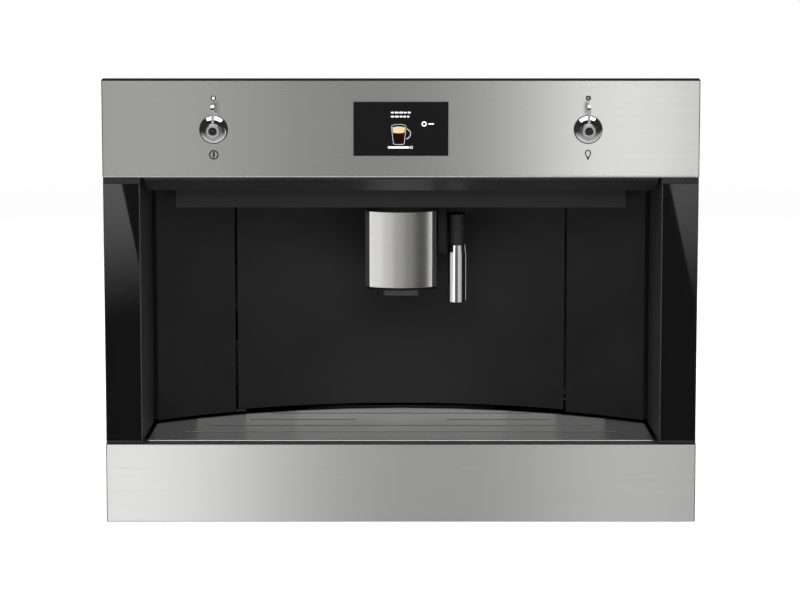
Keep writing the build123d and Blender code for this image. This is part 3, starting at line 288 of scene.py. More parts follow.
glassLook = dict(color=(0.0012, 0.0012, 0.0014), smear=(0.0018, 0.0018, 0.0021), rough=(0.015, 0.05))


def makeBlackGlass():
    material, tree, shader = startMaterial("blackGlass", IOR=1.5)
    grain = useGroup(tree, mouldedGrain, Pebbles=300.0, Patches=9.0)
    tree.links.new(mixColor(tree, grain["Patch"], (*glassLook["color"], 1), (*glassLook["smear"], 1)),
                   shader.inputs["Base Color"])
    low, high = glassLook["rough"]
    tree.links.new(mapRange(tree, grain["Patch"], 0.4, 0.75, low, high), shader.inputs["Roughness"])
    bumpInto(tree, shader, grain["Patch"], 0.01, 0.0001, softEdge(tree, 0.0004))
    return material


zincLook = dict(dark=(0.34, 0.35, 0.36), light=(0.60, 0.61, 0.62), rough=(0.32, 0.46), flowers=85.0)


def makeZinc():
    material, tree, shader = startMaterial("zincSheet", Metallic=1.0)
    flowers = useGroup(tree, zincFlowers, Scale=zincLook["flowers"])
    tone = doMath(tree, "ADD", doMath(tree, "MULTIPLY", flowers["Crystal"], 0.6),
                  doMath(tree, "MULTIPLY", flowers["Shade"], 0.4))
    tree.links.new(mixColor(tree, tone, (*zincLook["dark"], 1), (*zincLook["light"], 1)),
                   shader.inputs["Base Color"])
    low, high = zincLook["rough"]
    tree.links.new(mapRange(tree, flowers["Crystal"], 0.0, 1.0, high, low), shader.inputs["Roughness"])
    bumpInto(tree, shader, flowers["Crystal"], 0.05, 0.0002, softEdge(tree, 0.0004))
    return material


clearLook = {
    "clearPlastic": dict(color=(0.80, 0.84, 0.88), tint=(0.72, 0.77, 0.82), rough=(0.06, 0.16)),
    "smokedPlastic": dict(color=(0.16, 0.145, 0.13), tint=(0.11, 0.10, 0.09), rough=(0.05, 0.14)),
    "lensPlastic": dict(color=(0.80, 0.81, 0.83), tint=(0.74, 0.75, 0.77), rough=(0.05, 0.10)),
}


def makeClear(name):
    look = clearLook[name]
    material, tree, shader = startMaterial(name, IOR=1.49, Transmission_Weight=0.9)
    grain = useGroup(tree, mouldedGrain, Pebbles=1600.0, Patches=12.0)
    tree.links.new(mixColor(tree, grain["Patch"], (*look["color"], 1), (*look["tint"], 1)),
                   shader.inputs["Base Color"])
    low, high = look["rough"]
    tree.links.new(mapRange(tree, grain["Patch"], 0.35, 0.7, low, high), shader.inputs["Roughness"])
    bumpInto(tree, shader, grain["Pebble"], 0.03, 0.0002)
    return material


boardLook = dict(lacquer=(0.012, 0.075, 0.035), copper=(0.030, 0.135, 0.055), parts=(0.025, 0.025, 0.028),
                 tracks=260.0, trackShare=0.55)


def makeBoard():
    # green lacquer over tracks; the colour listed for the parts that stand proud is not used
    material, tree, shader = startMaterial("circuitBoard", Coat_Weight=0.3, Coat_Roughness=0.15)
    point = objectPoint(tree)
    bricks = addNode(tree, "ShaderNodeTexVoronoi", distance="CHEBYCHEV", feature="F1")
    tree.links.new(point, bricks.inputs["Vector"])
    bricks.inputs["Scale"].default_value = boardLook["tracks"]
    share = boardLook["trackShare"]
    track = mapRange(tree, bricks.outputs["Distance"], share, share + 0.05)
    tree.links.new(mixColor(tree, track, (*boardLook["copper"], 1), (*boardLook["lacquer"], 1)),
                   shader.inputs["Base Color"])
    tree.links.new(mapRange(tree, noise(tree, point, 40.0), 0.3, 0.7, 0.25, 0.4), shader.inputs["Roughness"])
    bumpInto(tree, shader, track, 0.2, 0.0001, softEdge(tree, 0.0003))
    return material


finishes = {name: makeSteel(name) for name in steelLook}
finishes.update({name: makePlastic(name) for name in plasticLook})
finishes.update({name: makeClear(name) for name in clearLook})
finishes["chrome"] = makeChrome()
finishes["blackGlass"] = makeBlackGlass()
finishes["zincSheet"] = makeZinc()
finishes["circuitBoard"] = makeBoard()

# which parts wear which finish
worn = {
    "brushedSteel": ["control_panel", "lower_panel"],
    "spoutSteel": ["spout_cover"],
    "traySteel": ["cup_grille"],
    "leverSteel": ["left_lever", "right_lever"],
    "chrome": ["knob_escutcheons", "water_sleeve"],
    "blackGlass": ["display_glass", "pillar_glasses"],
    "blackPlastic": ["pillar_frames", "panel_carrier", "lip_baffle", "recess_canopy", "service_door",
                     "drawer_carrier", "drip_tray", "grounds_container"],
    "linerPlastic": ["recess_wall_left", "recess_wall_right"],
    "spoutPlastic": ["spout_body"],
    "nozzlePlastic": ["nozzle_block"],
    "gripPlastic": ["water_grip"],
    "shadePaintedPlastic": ["spout_column", "water_bracket"],
    "greyPlastic": ["grind_knob", "selector_switches", "mains_inlet", "grinder_housing", "brew_frame",
                    "brew_chamber", "brew_piston"],
    "motorPaint": ["grinder_motor", "brew_motor"],
    "castAluminium": ["thermoblock"],
    "pumpBrass": ["pump"],
    "zincSheet": ["base_pan", "side_panels", "rear_panel", "top_cover", "mid_deck", "side_flanges",
                  "panel_back_cover", "outer_rails", "middle_rails", "inner_rails"],
    "groundSteel": ["rail_balls", "door_pivots", "brew_spindle"],
    "burrSteel": ["upper_burr", "lower_burr"],
    "clearPlastic": ["water_tank", "tank_lid"],
    "smokedPlastic": ["bean_hopper", "bean_lid", "funnel_lid", "ground_coffee_funnel"],
    "lensPlastic": ["indicator_lenses"],
    "circuitBoard": ["control_board", "power_board"],
}
for finish, names in worn.items():
    for name in names:
        mesh = nodes[name].data
        mesh.materials.clear()
        mesh.materials.append(finishes[finish])
unworn = sorted(set(nodes) - {name for names in worn.values() for name in names})
print("finishes put on; parts without one:", unworn)


# mesh helpers for the trim

def finishPiece(bm, name, finish, body, bevel=0.0, smooth=40.0):
    bmesh.ops.recalc_face_normals(bm, faces=bm.faces)
    mesh = bpy.data.meshes.new(name)
    bm.to_mesh(mesh)
    bm.free()
    piece = bpy.data.objects.new(name, mesh)
    scene.collection.objects.link(piece)
    mesh.materials.append(finishes[finish])
    for face in mesh.polygons:
        face.use_smooth = True
    mesh.set_sharp_from_angle(angle=math.radians(smooth))
    if bevel:
        rounding = piece.modifiers.new("rounding", "BEVEL")
        rounding.width = bevel
        rounding.segments = 2
        rounding.limit_method = "ANGLE"
    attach(piece, body)
    return piece


def raisedOutline(bm, outline, front, back):
    # a closed (x, z) outline in metres, from y=back forward to y=front
    near = [bm.verts.new((x, front, z)) for x, z in outline]
    far = [bm.verts.new((x, back, z)) for x, z in outline]
    bm.faces.new(near)
    bm.faces.new(far[::-1])
    for i in range(len(outline)):
        j = (i + 1) % len(outline)
        bm.faces.new((near[i], far[i], far[j], near[j]))


def joinRings(bm, rings, caps=True):
    # quads between two rings of vertices of equal count, and an end face on each
    for i in range(len(rings[0])):
        j = (i + 1) % len(rings[0])
        bm.faces.new((rings[0][i], rings[0][j], rings[1][j], rings[1][i]))
    if caps:
        for ring in rings:
            bm.faces.new(ring)


def crossBar(bm, side, left, right):
    # a bar along X with the closed (y, z) outline side
    joinRings(bm, [[bm.verts.new((x, y, z)) for y, z in side] for x in (left, right)])


def rectangle(left, right, low, high):
    return [(left, low), (right, low), (right, high), (left, high)]


def raisedStroke(bm, path, width, front, back, closed=False):
    # a band of even width along an (x, z) path
    count = len(path)
    left, right = [], []
    for i, (x, z) in enumerate(path):
        before = path[i - 1] if closed or i else path[i]
        after = path[(i + 1) % count] if closed or i < count - 1 else path[i]
        run = Vector((after[0] - before[0], after[1] - before[1])).normalized()
        side = Vector((-run.y, run.x)) * width / 2
        left.append((x + side.x, z + side.y))
        right.append((x - side.x, z - side.y))
    rows = [[bm.verts.new((x, y, z)) for x, z in edge]
            for edge, y in ((left, front), (right, front), (right, back), (left, back))]
    for i in range(count if closed else count - 1):
        j = (i + 1) % count
        for a, b in ((0, 1), (1, 2), (2, 3), (3, 0)):
            bm.faces.new((rows[a][i], rows[a][j], rows[b][j], rows[b][i]))
    if not closed:
        for end in (0, -1):
            bm.faces.new([row[end] for row in rows])


def arcPoints(centre, radius, start=0.0, end=360.0, count=32, squash=1.0):
    # start and end in degrees, counted from +X towards +Z; a full turn leaves its last point out
    full = abs(end - start) >= 360
    steps = count if full else count - 1
    angles = [math.radians(start + (end - start) * i / steps) for i in range(count)]
    return [(centre[0] + radius * math.cos(a), centre[1] + radius * squash * math.sin(a)) for a in angles]


def roundedBar(centre, width, height, count=8):
    r = height / 2
    x, z = centre
    return (arcPoints((x + width / 2 - r, z), r, -90, 90, count)
            + arcPoints((x - width / 2 + r, z), r, 90, 270, count))


def turnedShape(bm, profile, place, axis, steps=32):
    # profile: (radius, height) pairs, turned about axis through place; an end is closed only where the
    # profile comes to radius 0
    axis = Vector(axis).normalized()
    turn = axis.to_track_quat("Z", "Y").to_matrix()
    rings = []
    for radius, height in profile:
        if radius < 1e-7:
            rings.append([bm.verts.new(Vector(place) + axis * height)])
            continue
        ring = []
        for i in range(steps):
            a = math.tau * i / steps
            spot = turn @ Vector((radius * math.cos(a), radius * math.sin(a), 0))
            ring.append(bm.verts.new(Vector(place) + spot + axis * height))
        rings.append(ring)
    for low, high in zip(rings, rings[1:]):
        if len(low) == 1 and len(high) == 1:
            continue
        for i in range(steps):
            j = (i + 1) % steps
            if len(low) == 1:
                bm.faces.new((low[0], high[j], high[i]))
            elif len(high) == 1:
                bm.faces.new((low[i], low[j], high[0]))
            else:
                bm.faces.new((low[i], low[j], high[j], high[i]))


def flatFinish(name, color, second, glow=0.0, scale=300.0, gloss=0.5):
    # a print or a lit segment: two near colours mottled, lit if glow is above 0
    material, tree, shader = startMaterial(name, Emission_Strength=glow, Specular_IOR_Level=gloss)
    grain = useGroup(tree, mouldedGrain, Pebbles=4000.0, Patches=scale)
    shade = mixColor(tree, grain["Patch"], (*color, 1), (*second, 1))
    tree.links.new(shade, shader.inputs["Base Color"])
    if glow:
        tree.links.new(shade, shader.inputs["Emission Color"])
    tree.links.new(mapRange(tree, grain["Pebble"], 0.3, 0.7, 0.3, 0.4), shader.inputs["Roughness"])
    finishes[name] = material
    return name


# display picture: skeleton lines, a glass of coffee, a progress bar and a ring
displayLow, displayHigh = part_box("display_glass")
displayMid = (displayLow + displayHigh) / 2
displayPicture = dict(proud=0.00004, thick=0.00008, glow=0.62,
                      barGap=1.3, barShift=-0.9, barRing=1.15, barRingWidth=0.45, barRingInset=1.6,
                      ring=2.0, ringWidth=1.15, dashShift=7.0, dash=(5.6, 1.2),
                      lines=((-8.4, 16.3, 3.0), (-4.2, 16.3, 3.8), (0.4, 16.3, 4.2), (4.4, 16.3, 2.6),
                             (8.2, 16.3, 3.2), (-8.4, 12.3, 3.2), (-4.0, 12.3, 4.2), (0.2, 12.3, 2.6),
                             (3.6, 12.3, 2.8), (7.2, 12.3, 2.6)),
                      lineHeight=1.55, barZ=-18.7, barWidth=24.4, barHeight=2.0, ringX=23.2, ringZ=4.9)
screenY = displayLow.y - displayPicture["proud"]
flatFinish("screenWhite", (0.85, 0.85, 0.85), (0.75, 0.75, 0.76), displayPicture["glow"])
flatFinish("screenGlass", (0.30, 0.30, 0.31), (0.52, 0.52, 0.52), 0.55, 500.0)
flatFinish("screenCrema", (0.42, 0.27, 0.13), (0.66, 0.50, 0.30), 0.6, 420.0, 0.1)
flatFinish("screenCoffee", (0.002, 0.001, 0.001), (0.016, 0.005, 0.003), 0.4, 160.0, 0.05)


def onScreen(points, dx=0.0, dz=0.0):
    return [(displayMid.x + (x + dx) * mm, displayMid.z + (z + dz) * mm) for x, z in points]


def screenPiece(name, finish, outlines=(), strokes=(), lift=0):
    bm = bmesh.new()
    front = screenY - displayPicture["thick"] * (1 + lift)
    for outline in outlines:
        raisedOutline(bm, onScreen(outline), front, screenY + displayPicture["proud"])
    for path, width, closed in strokes:
        raisedStroke(bm, onScreen(path), width * mm, front, screenY + displayPicture["proud"], closed)
    return finishPiece(bm, name, finish, "machine")


look = displayPicture
screenPiece("screen_lines", "screenWhite",
            [roundedBar((x, z), width, look["lineHeight"]) for x, z, width in look["lines"]])
barPlace = (look["barShift"] - look["barGap"], look["barZ"])
barRingPlace = (look["barWidth"] / 2 - look["barRingInset"], look["barZ"])
screenPiece("screen_bar", "screenWhite",
            [roundedBar(barPlace, look["barWidth"] - 2 * look["barGap"], look["barHeight"])],
            [(arcPoints(barRingPlace, look["barRing"], count=24), look["barRingWidth"], True)])
screenPiece("screen_ring", "screenWhite",
            [roundedBar((look["ringX"] + look["dashShift"], look["ringZ"]), *look["dash"])],
            [(arcPoints((look["ringX"], look["ringZ"]), look["ring"], count=32), look["ringWidth"], True)])

# the glass: a tapered tumbler with a handle, coffee and crema in it
glassShape = dict(top=2.5, bottom=-14.7, halfTop=7.3, halfBottom=5.4, x=-2.1, cremaTop=0.5, cremaBottom=-3.4,
                  rimSquash=0.28, inner=0.9, foot=1.6)


def glassHalf(z):
    share = (z - glassShape["bottom"]) / (glassShape["top"] - glassShape["bottom"])
    return glassShape["halfBottom"] + (glassShape["halfTop"] - glassShape["halfBottom"]) * share


gx = glassShape["x"]
rim = arcPoints((gx, glassShape["top"]), glassShape["halfTop"], count=40, squash=glassShape["rimSquash"])
base = arcPoints((gx, glassShape["bottom"]), glassShape["halfBottom"], 180, 360, 20, 0.22)
topHalf = glassHalf(glassShape["top"])
side = [(gx - topHalf, glassShape["top"]), *base, (gx + topHalf, glassShape["top"])]
handle = arcPoints((gx + glassHalf(-4.4) + 0.1, -5.0), 5.1, 78, -84, 24, 1.0)
screenPiece("screen_glass", "screenGlass", (),
            [(rim, 0.45, True), (side, 0.5, False), (handle, 0.8, False)], 1)
inner = glassShape["inner"]
cremaHalf = glassHalf(glassShape["cremaTop"]) - inner
lowHalf = glassHalf(glassShape["cremaBottom"]) - inner
crema = (arcPoints((gx, glassShape["cremaTop"]), cremaHalf, 0, 180, 20, 0.30)
         + arcPoints((gx, glassShape["cremaBottom"]), lowHalf, 180, 360, 20, 0.16))
screenPiece("screen_crema", "screenCrema", [crema])
footZ = glassShape["bottom"] + glassShape["foot"]
footHalf = glassHalf(footZ) - inner
coffee = (arcPoints((gx, glassShape["cremaBottom"] - 0.1), lowHalf, 180, 360, 20, 0.16)[::-1]
          + arcPoints((gx, footZ), footHalf, 180, 360, 20, 0.16))
screenPiece("screen_coffee", "screenCoffee", [coffee])
print("display picture made")

# marks on the steel, below the selectors: power on the left, a lamp on the right
leverLow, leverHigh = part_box("left_lever")
selectorX = (leverLow.x + leverHigh.x) / 2
marks = dict(drop=25.4, proud=0.00003, ringRadius=4.15, ringWidth=1.3, barWidth=1.75, barHeight=5.5,
             lampWidth=1.1, lampHalf=2.6, lampTop=4.5, lampFoot=-4.8)
flatFinish("markInk", (0.006, 0.006, 0.007), (0.011, 0.011, 0.012), 0.0, 200.0)
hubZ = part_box("knob_escutcheons")
markZ = (hubZ[0].z + hubZ[1].z) / 2 - marks["drop"] * mm


def onSteel(points, x):
    return [(x + px * mm, markZ + pz * mm) for px, pz in points]


bm = bmesh.new()
powerRing = onSteel(arcPoints((0, 0), marks["ringRadius"], count=48), selectorX)
raisedStroke(bm, powerRing, marks["ringWidth"] * mm, frontY - marks["proud"], frontY + marks["proud"], True)
barHalf, barRise = marks["barWidth"] / 2, marks["barHeight"] / 2
raisedOutline(bm, onSteel(rectangle(-barHalf, barHalf, -barRise, barRise), selectorX),
              frontY - marks["proud"], frontY + marks["proud"])
finishPiece(bm, "power_mark", "markInk", "machine")

bm = bmesh.new()
half = marks["lampHalf"]
neck = marks["lampTop"] - 2.3 * half
bulb = (arcPoints((0, marks["lampTop"] - half), half, -20, 200, 28)
        + [(-half * 0.55, neck), (-0.75, -2.6), (0.75, -2.6), (half * 0.55, neck)])
raisedStroke(bm, onSteel(bulb, -selectorX), marks["lampWidth"] * mm, frontY - marks["proud"],
             frontY + marks["proud"], True)
lampFoot = marks["lampFoot"]
foot = [(-1.15, lampFoot + 0.5), (-0.7, lampFoot), (0.7, lampFoot), (1.15, lampFoot + 0.5),
        (1.15, -2.9), (-1.15, -2.9)]
raisedOutline(bm, onSteel(foot, -selectorX), frontY - marks["proud"], frontY + marks["proud"])
finishPiece(bm, "lamp_mark", "markInk", "machine")

# indicator lights: a dark bezel and a small dome, lit on the left
indicator = dict(bezelOuter=2.45, bezelInner=1.35, bezelProud=0.25, dome=0.35)
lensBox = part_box("indicator_lenses")
lensZ = (lensBox[0].z + lensBox[1].z) / 2
flatFinish("bezelBlack", (0.012, 0.012, 0.013), (0.022, 0.022, 0.024), 0.0, 260.0)
flatFinish("lightOn", (0.95, 0.95, 0.94), (0.85, 0.86, 0.86), 1.1, 500.0)
flatFinish("lightOff", (0.16, 0.16, 0.17), (0.26, 0.26, 0.27), 0.0, 500.0)
for x, side, finish in ((selectorX, "left", "lightOn"), (-selectorX, "right", "lightOff")):
    place = (x, lensBox[0].y, lensZ)
    outer, innerR = indicator["bezelOuter"] * mm, indicator["bezelInner"] * mm
    bm = bmesh.new()
    proud = indicator["bezelProud"] * mm
    turnedShape(bm, [(innerR, 0.0), (innerR, proud * 0.7), (innerR * 1.12, proud), (outer * 0.9, proud),
                     (outer, proud * 0.5), (outer, 0.0), (innerR, 0.0)], place, (0, -1, 0), 40)
    finishPiece(bm, side + "_light_bezel", "bezelBlack", "machine")
    bm = bmesh.new()
    dome = [(innerR * math.cos(math.radians(a)), indicator["dome"] * mm * math.sin(math.radians(a)))
            for a in range(0, 90, 15)]
    turnedShape(bm, dome + [(0.0, indicator["dome"] * mm)], place, (0, -1, 0), 32)
    finishPiece(bm, side + "_light_dome", finish, "machine")

# each selector: a black dished insert in the hub, a polished slanted tip over a flush black band on the
# lever, painted shade of the slot there, and a thin black ring round the edge of its escutcheon, painted
# shade of the gap around it
selector = dict(hub=6.45, recess=2.0, insert=4.12, thick=0.9, screw=1.45, groove=(21.4, 23.2),
                slotShadeHalf=1.72, setback=2.0, slotShadeDeep=0.48,
                tipLow=23.5, tipHigh=25.9, tipHalf=1.5, tipProud=1.4, tipFoot=0.35,
                edge=14.25, ringIn=0.95, ringThick=0.12)
shadeRingBm = bmesh.new()
for body in ("left_lever", "right_lever"):
    low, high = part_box(body)
    hubX, hubMid = (low.x + high.x) / 2, low.z + selector["hub"] * mm
    bm = bmesh.new()
    r, t, screw = selector["insert"] * mm, selector["thick"] * mm, selector["screw"] * mm
    crown = selector["recess"] * mm * 0.998
    turnedShape(bm, [(r, 0.0), (r, t * 0.7), (r - 0.3 * mm, t), (r - 0.7 * mm, t), (screw * 1.2, t * 0.5),
                     (screw, t * 0.6), (screw, crown - 0.1 * mm), (screw - 0.1 * mm, crown),
                     (screw * 0.55, crown), (screw * 0.5, crown - 0.02 * mm), (0.0, crown - 0.02 * mm)],
                (hubX, low.y + selector["recess"] * mm, hubMid), (0, -1, 0), 40)
    finishPiece(bm, body + "_insert", "bezelBlack", body)

    barFront = low.y + selector["setback"] * mm
    # painted shade: a flush black band across the lever where the slot's shade falls
    bm = bmesh.new()
    g0, g1 = (hubMid + z * mm for z in selector["groove"])
    h = selector["slotShadeHalf"] * mm
    raisedOutline(bm, rectangle(hubX - h, hubX + h, g0, g1), barFront, barFront + selector["slotShadeDeep"] * mm)
    finishPiece(bm, body + "_slot_shade", "bezelBlack", body)

    bm = bmesh.new()
    low0, high0 = hubMid + selector["tipLow"] * mm, hubMid + selector["tipHigh"] * mm
    h, back = selector["tipHalf"] * mm, barFront + 0.1 * mm
    tipFront = barFront - selector["tipProud"] * mm
    side = [(back, low0), (tipFront, low0), (tipFront, low0 + selector["tipFoot"] * mm),
            (barFront - 0.05 * mm, high0), (back, high0)]
    crossBar(bm, side, hubX - h, hubX + h)
    finishPiece(bm, body + "_tip", "chrome", body, bevel=0.00015, smooth=30)

    # painted shade: a thin black ring round each escutcheon, standing in for the shaded gap at its edge
    edge, ringIn, lift = (selector[k] * mm for k in ("edge", "ringIn", "ringThick"))
    turnedShape(shadeRingBm, [(edge + lift, 0.0), (edge + lift, 0.9 * mm), (edge - ringIn, 1.35 * mm + lift),
                         (edge - ringIn, 1.1 * mm), (edge - 0.02 * mm, 0.75 * mm), (edge - 0.02 * mm, 0.0),
                         (edge + lift, 0.0)], (hubX, frontY, hubMid), (0, -1, 0), 64)
finishPiece(shadeRingBm, "escutcheon_shade_rings", "bezelBlack", "machine")
print("marks and hub inserts made")


# screws

screwLook = dict(head=3.1, high=1.7, socket=1.5, steps=20,
                 sideRows=(-0.16, 0.02, 0.2), sideHeights=(0.39, 0.012), topZ=0.402,
                 topFront=(-0.155, (-0.254, 0.0, 0.254)), topBack=(0.208, (-0.254, 0.0)))


def screwHead(bm, place, axis):
    head, high, socket = (screwLook[k] * mm for k in ("head", "high", "socket"))
    turnedShape(bm, [(head, 0.0), (head, high * 0.35), (head * 0.86, high * 0.78), (head * 0.6, high),
                     (socket, high), (socket * 0.8, high * 0.35), (0.0, high * 0.3)],
                place, axis, screwLook["steps"])


def screwRow(name, places, axis, body="machine"):
    bm = bmesh.new()
    for place in places:
        screwHead(bm, place, axis)
    return finishPiece(bm, name, "groundSteel", body)


for side, sign in (("left", -1), ("right", 1)):
    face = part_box("side_panels")[0 if sign < 0 else 1].x
    places = [(face, y, z) for z in screwLook["sideHeights"] for y in screwLook["sideRows"]]
    screwRow(side + "_side_screws", places, (sign, 0, 0))
screwRow("top_screws", [(x, y, screwLook["topZ"]) for y, row in (screwLook["topFront"], screwLook["topBack"])
                        for x in row], (0, 0, 1))
print("screws made")

# small trim in the recess

# painted shade: near-black strips in the two upright grooves beside the curved wall, standing in for the
# shade down in them
grooveShade = dict(inner=252.4, outer=256.7, front=107.6, back=108.95, shoulder=0.6, low=88.0, high=346.5)
# painted shade: this near-black matt colour stands in for the shade in gaps, grooves and under edges wherever
# it is used
flatFinish("paintedShade", (0.0015, 0.0015, 0.0016), (0.004, 0.004, 0.0043), 0.0, 900.0)
bm = bmesh.new()
for sign in (-1, 1):
    a, b = sign * grooveShade["inner"] * mm, sign * grooveShade["outer"] * mm
    crown, back = (frontY + grooveShade[k] * mm for k in ("front", "back"))
    shoulder = crown + grooveShade["shoulder"] * mm
    plan = [(a, back), (a, shoulder), ((a + b) / 2, crown), (b, shoulder), (b, back)]
    joinRings(bm, [[bm.verts.new((x, y, z * mm)) for x, y in plan] for z in (grooveShade["low"], grooveShade["high"])])
finishPiece(bm, "groove_shade_strips", "paintedShade", "machine")

# folded front edge of the cup grille: a thin rounded lip, as wide as the grille's front
grilleLow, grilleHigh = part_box("cup_grille")
lip = dict(radius=0.55, proud=0.2, reach=255.0, shadeDrop=5.0, shadeProud=0.5)
lipRadius, lipReach = lip["radius"] * mm, lip["reach"] * mm
bm = bmesh.new()
lipY, lipZ = grilleLow.y - lip["proud"] * mm, grilleHigh.z - lipRadius
ring = [(lipY - lipRadius * math.cos(math.radians(a)), lipZ + lipRadius * math.sin(math.radians(a)))
        for a in range(-90, 91, 15)]
crossBar(bm, ring, -lipReach, lipReach)
finishPiece(bm, "grille_front_lip", "traySteel", "drip_drawer", smooth=60)
# painted shade: a near-black strip below the lip, standing in for the shadowed gap under the grille's front
# edge
bm = bmesh.new()
shadeTop = grilleHigh.z - 2 * lipRadius
raisedOutline(bm, rectangle(-lipReach, lipReach, shadeTop - lip["shadeDrop"] * mm, shadeTop),
              grilleLow.y - lip["shadeProud"] * mm, grilleLow.y)
finishPiece(bm, "grille_front_shade", "paintedShade", "drip_drawer")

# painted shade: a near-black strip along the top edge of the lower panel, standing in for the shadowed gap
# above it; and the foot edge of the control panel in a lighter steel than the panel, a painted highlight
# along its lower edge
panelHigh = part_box("lower_panel")[1]
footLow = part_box("control_panel")[0].z
edges = dict(shadeStrip=1.0, shadeStripTop=0.05, shadeStripProud=0.05, sunk=0.2, inset=0.6,
             foot=1.3, footLift=0.1, footLip=0.02, footProud=0.7, footSunk=0.1, footRise=0.25)
bm = bmesh.new()
reachX = panelHigh.x - edges["inset"] * mm
shadeStripLow, shadeStripHigh = (panelHigh.z - edges[k] * mm for k in ("shadeStrip", "shadeStripTop"))
raisedOutline(bm, rectangle(-reachX, reachX, shadeStripLow, shadeStripHigh),
              frontY - edges["shadeStripProud"] * mm, frontY + edges["sunk"] * mm)
finishPiece(bm, "lower_panel_shade_strip", "paintedShade", "drip_drawer")
# partly real and partly painted: the slanted face catches real light, and the lighter lever steel on it is a
# painted highlight
bm = bmesh.new()
footTop, footStart = footLow + edges["foot"] * mm, footLow + edges["footLift"] * mm
footBack = frontY + edges["footSunk"] * mm
side = [(footBack, footStart), (frontY - edges["footLip"] * mm, footStart),
        (frontY - edges["footProud"] * mm, footTop), (footBack, footTop + edges["footRise"] * mm)]
crossBar(bm, side, -reachX, reachX)
finishPiece(bm, "control_panel_foot_highlight", "leverSteel", "machine", smooth=20)

# painted highlight: flat grey strips along the inner edges of the glass pillars, standing in for the light
# their edges catch
glassLow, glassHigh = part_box("pillar_glasses")
edgeStrip = dict(inner=261.1, outer=262.3, proud=0.12)
flatFinish("edgeHighlightGrey", (0.030, 0.030, 0.031), (0.042, 0.042, 0.043), 0.0, 300.0)
bm = bmesh.new()
for sign in (-1, 1):
    a, b = (sign * edgeStrip[k] * mm for k in ("inner", "outer"))
    raisedOutline(bm, rectangle(a, b, glassLow.z + mm, glassHigh.z - mm),
                  glassLow.y - edgeStrip["proud"] * mm, glassLow.y + 0.1 * mm)
finishPiece(bm, "pillar_edge_highlights", "edgeHighlightGrey", "machine")


def spoutBand(bm, radius, half, centreY, z, thick, count=24):
    # a thin band that follows the round front of the spout between two heights
    reach = math.asin(half / radius)
    angles = [-reach + 2 * reach * i / (count - 1) for i in range(count)]
    inside = radius - thick
    plan = [(radius * math.sin(a), centreY - radius * math.cos(a)) for a in angles]
    plan += [(inside * math.sin(a), centreY - inside * math.cos(a)) for a in angles[::-1]]
    rows = [[bm.verts.new((x, y, level)) for x, y in plan] for level in z]
    joinRings(bm, rows, caps=False)
    for i in range(count - 1):
        j = len(plan) - 1 - i
        for row in rows:
            bm.faces.new((row[i], row[i + 1], row[j - 1], row[j]))


# painted shade: near-black bands round the cap of the coffee spout and below its cover, standing in for the
# shadowed gaps there; steel tubes in the nozzle, lamps under the canopy
spoutTrim = dict(axisDepth=134.0, capRadius=62.8, capHalf=36.9, footRadius=60.8, footHalf=36.3,
                 shadeBandThick=0.35, tubeX=8.0, tubeDepth=95.0,
                 tubeOuter=2.45, tubeInner=1.9, tubeShow=0.6, tubeLong=5.0)
bodyLow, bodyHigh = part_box("spout_body")
coverLow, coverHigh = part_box("spout_cover")
bm = bmesh.new()
spoutAxis, shadeBandThick = frontY + spoutTrim["axisDepth"] * mm, spoutTrim["shadeBandThick"] * mm * 0.9
for radius, half, heights in (("capRadius", "capHalf", (coverHigh.z + 0.2 * mm, bodyHigh.z)),
                              ("footRadius", "footHalf", (bodyLow.z + 0.1 * mm, coverLow.z - 0.1 * mm))):
    outside = (spoutTrim[radius] + spoutTrim["shadeBandThick"]) * mm
    spoutBand(bm, outside, spoutTrim[half] * mm, spoutAxis, heights, shadeBandThick)
finishPiece(bm, "spout_shade_bands", "paintedShade", "coffee_spout", smooth=50)

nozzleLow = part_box("nozzle_block")[0].z
bm = bmesh.new()
tubeTop = nozzleLow + spoutTrim["tubeLong"] * mm
tubeEnd = nozzleLow - spoutTrim["tubeShow"] * mm
outer, innerR = spoutTrim["tubeOuter"] * mm, spoutTrim["tubeInner"] * mm
for sign in (-1, 1):
    place = (sign * spoutTrim["tubeX"] * mm, frontY + spoutTrim["tubeDepth"] * mm, 0.0)
    turnedShape(bm, [(outer, tubeTop), (outer, tubeEnd + 0.1 * mm), (outer - 0.1 * mm, tubeEnd),
                     (innerR, tubeEnd), (innerR, tubeTop), (outer, tubeTop)], place, (0, 0, 1), 28)
finishPiece(bm, "nozzle_tubes", "groundSteel", "coffee_spout")

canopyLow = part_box("recess_canopy")[0]
lampLook = dict(x=96.0, depth=98.0, halfX=15.0, halfY=7.0, corner=3.0, proud=0.5, rim=1.2, rimProud=0.3)
flatFinish("lampLens", (0.55, 0.55, 0.54), (0.68, 0.68, 0.67), 0.0, 260.0)


def roundedPlate(bm, centre, halfX, halfY, corner, z):
    outline = []
    for cx, cy, start in ((1, 1, 0), (-1, 1, 90), (-1, -1, 180), (1, -1, 270)):
        middle = (centre[0] + cx * (halfX - corner), centre[1] + cy * (halfY - corner))
        outline += arcPoints(middle, corner, start, start + 90, 6)
    joinRings(bm, [[bm.verts.new((x, y, level)) for x, y in outline] for level in z])


rimBm, lensBm = bmesh.new(), bmesh.new()
for sign in (-1, 1):
    spot = (sign * lampLook["x"] * mm, frontY + lampLook["depth"] * mm)
    rim, corner = lampLook["rim"], lampLook["corner"]
    roundedPlate(rimBm, spot, (lampLook["halfX"] + rim) * mm, (lampLook["halfY"] + rim) * mm,
                 (corner + rim) * mm, (canopyLow.z - lampLook["rimProud"] * mm, canopyLow.z))
    roundedPlate(lensBm, spot, lampLook["halfX"] * mm, lampLook["halfY"] * mm, corner * mm,
                 (canopyLow.z - lampLook["proud"] * mm, canopyLow.z - 0.1 * mm))
finishPiece(rimBm, "lamp_rims", "bezelBlack", "machine", bevel=0.0001)
finishPiece(lensBm, "lamp_lenses", "lampLens", "machine", bevel=0.00015)
print("recess trim made")

# studio

floorLook = dict(radius=3.4, full=1.2, gone=2.8, color=(0.90, 0.90, 0.895), second=(0.86, 0.86, 0.855))


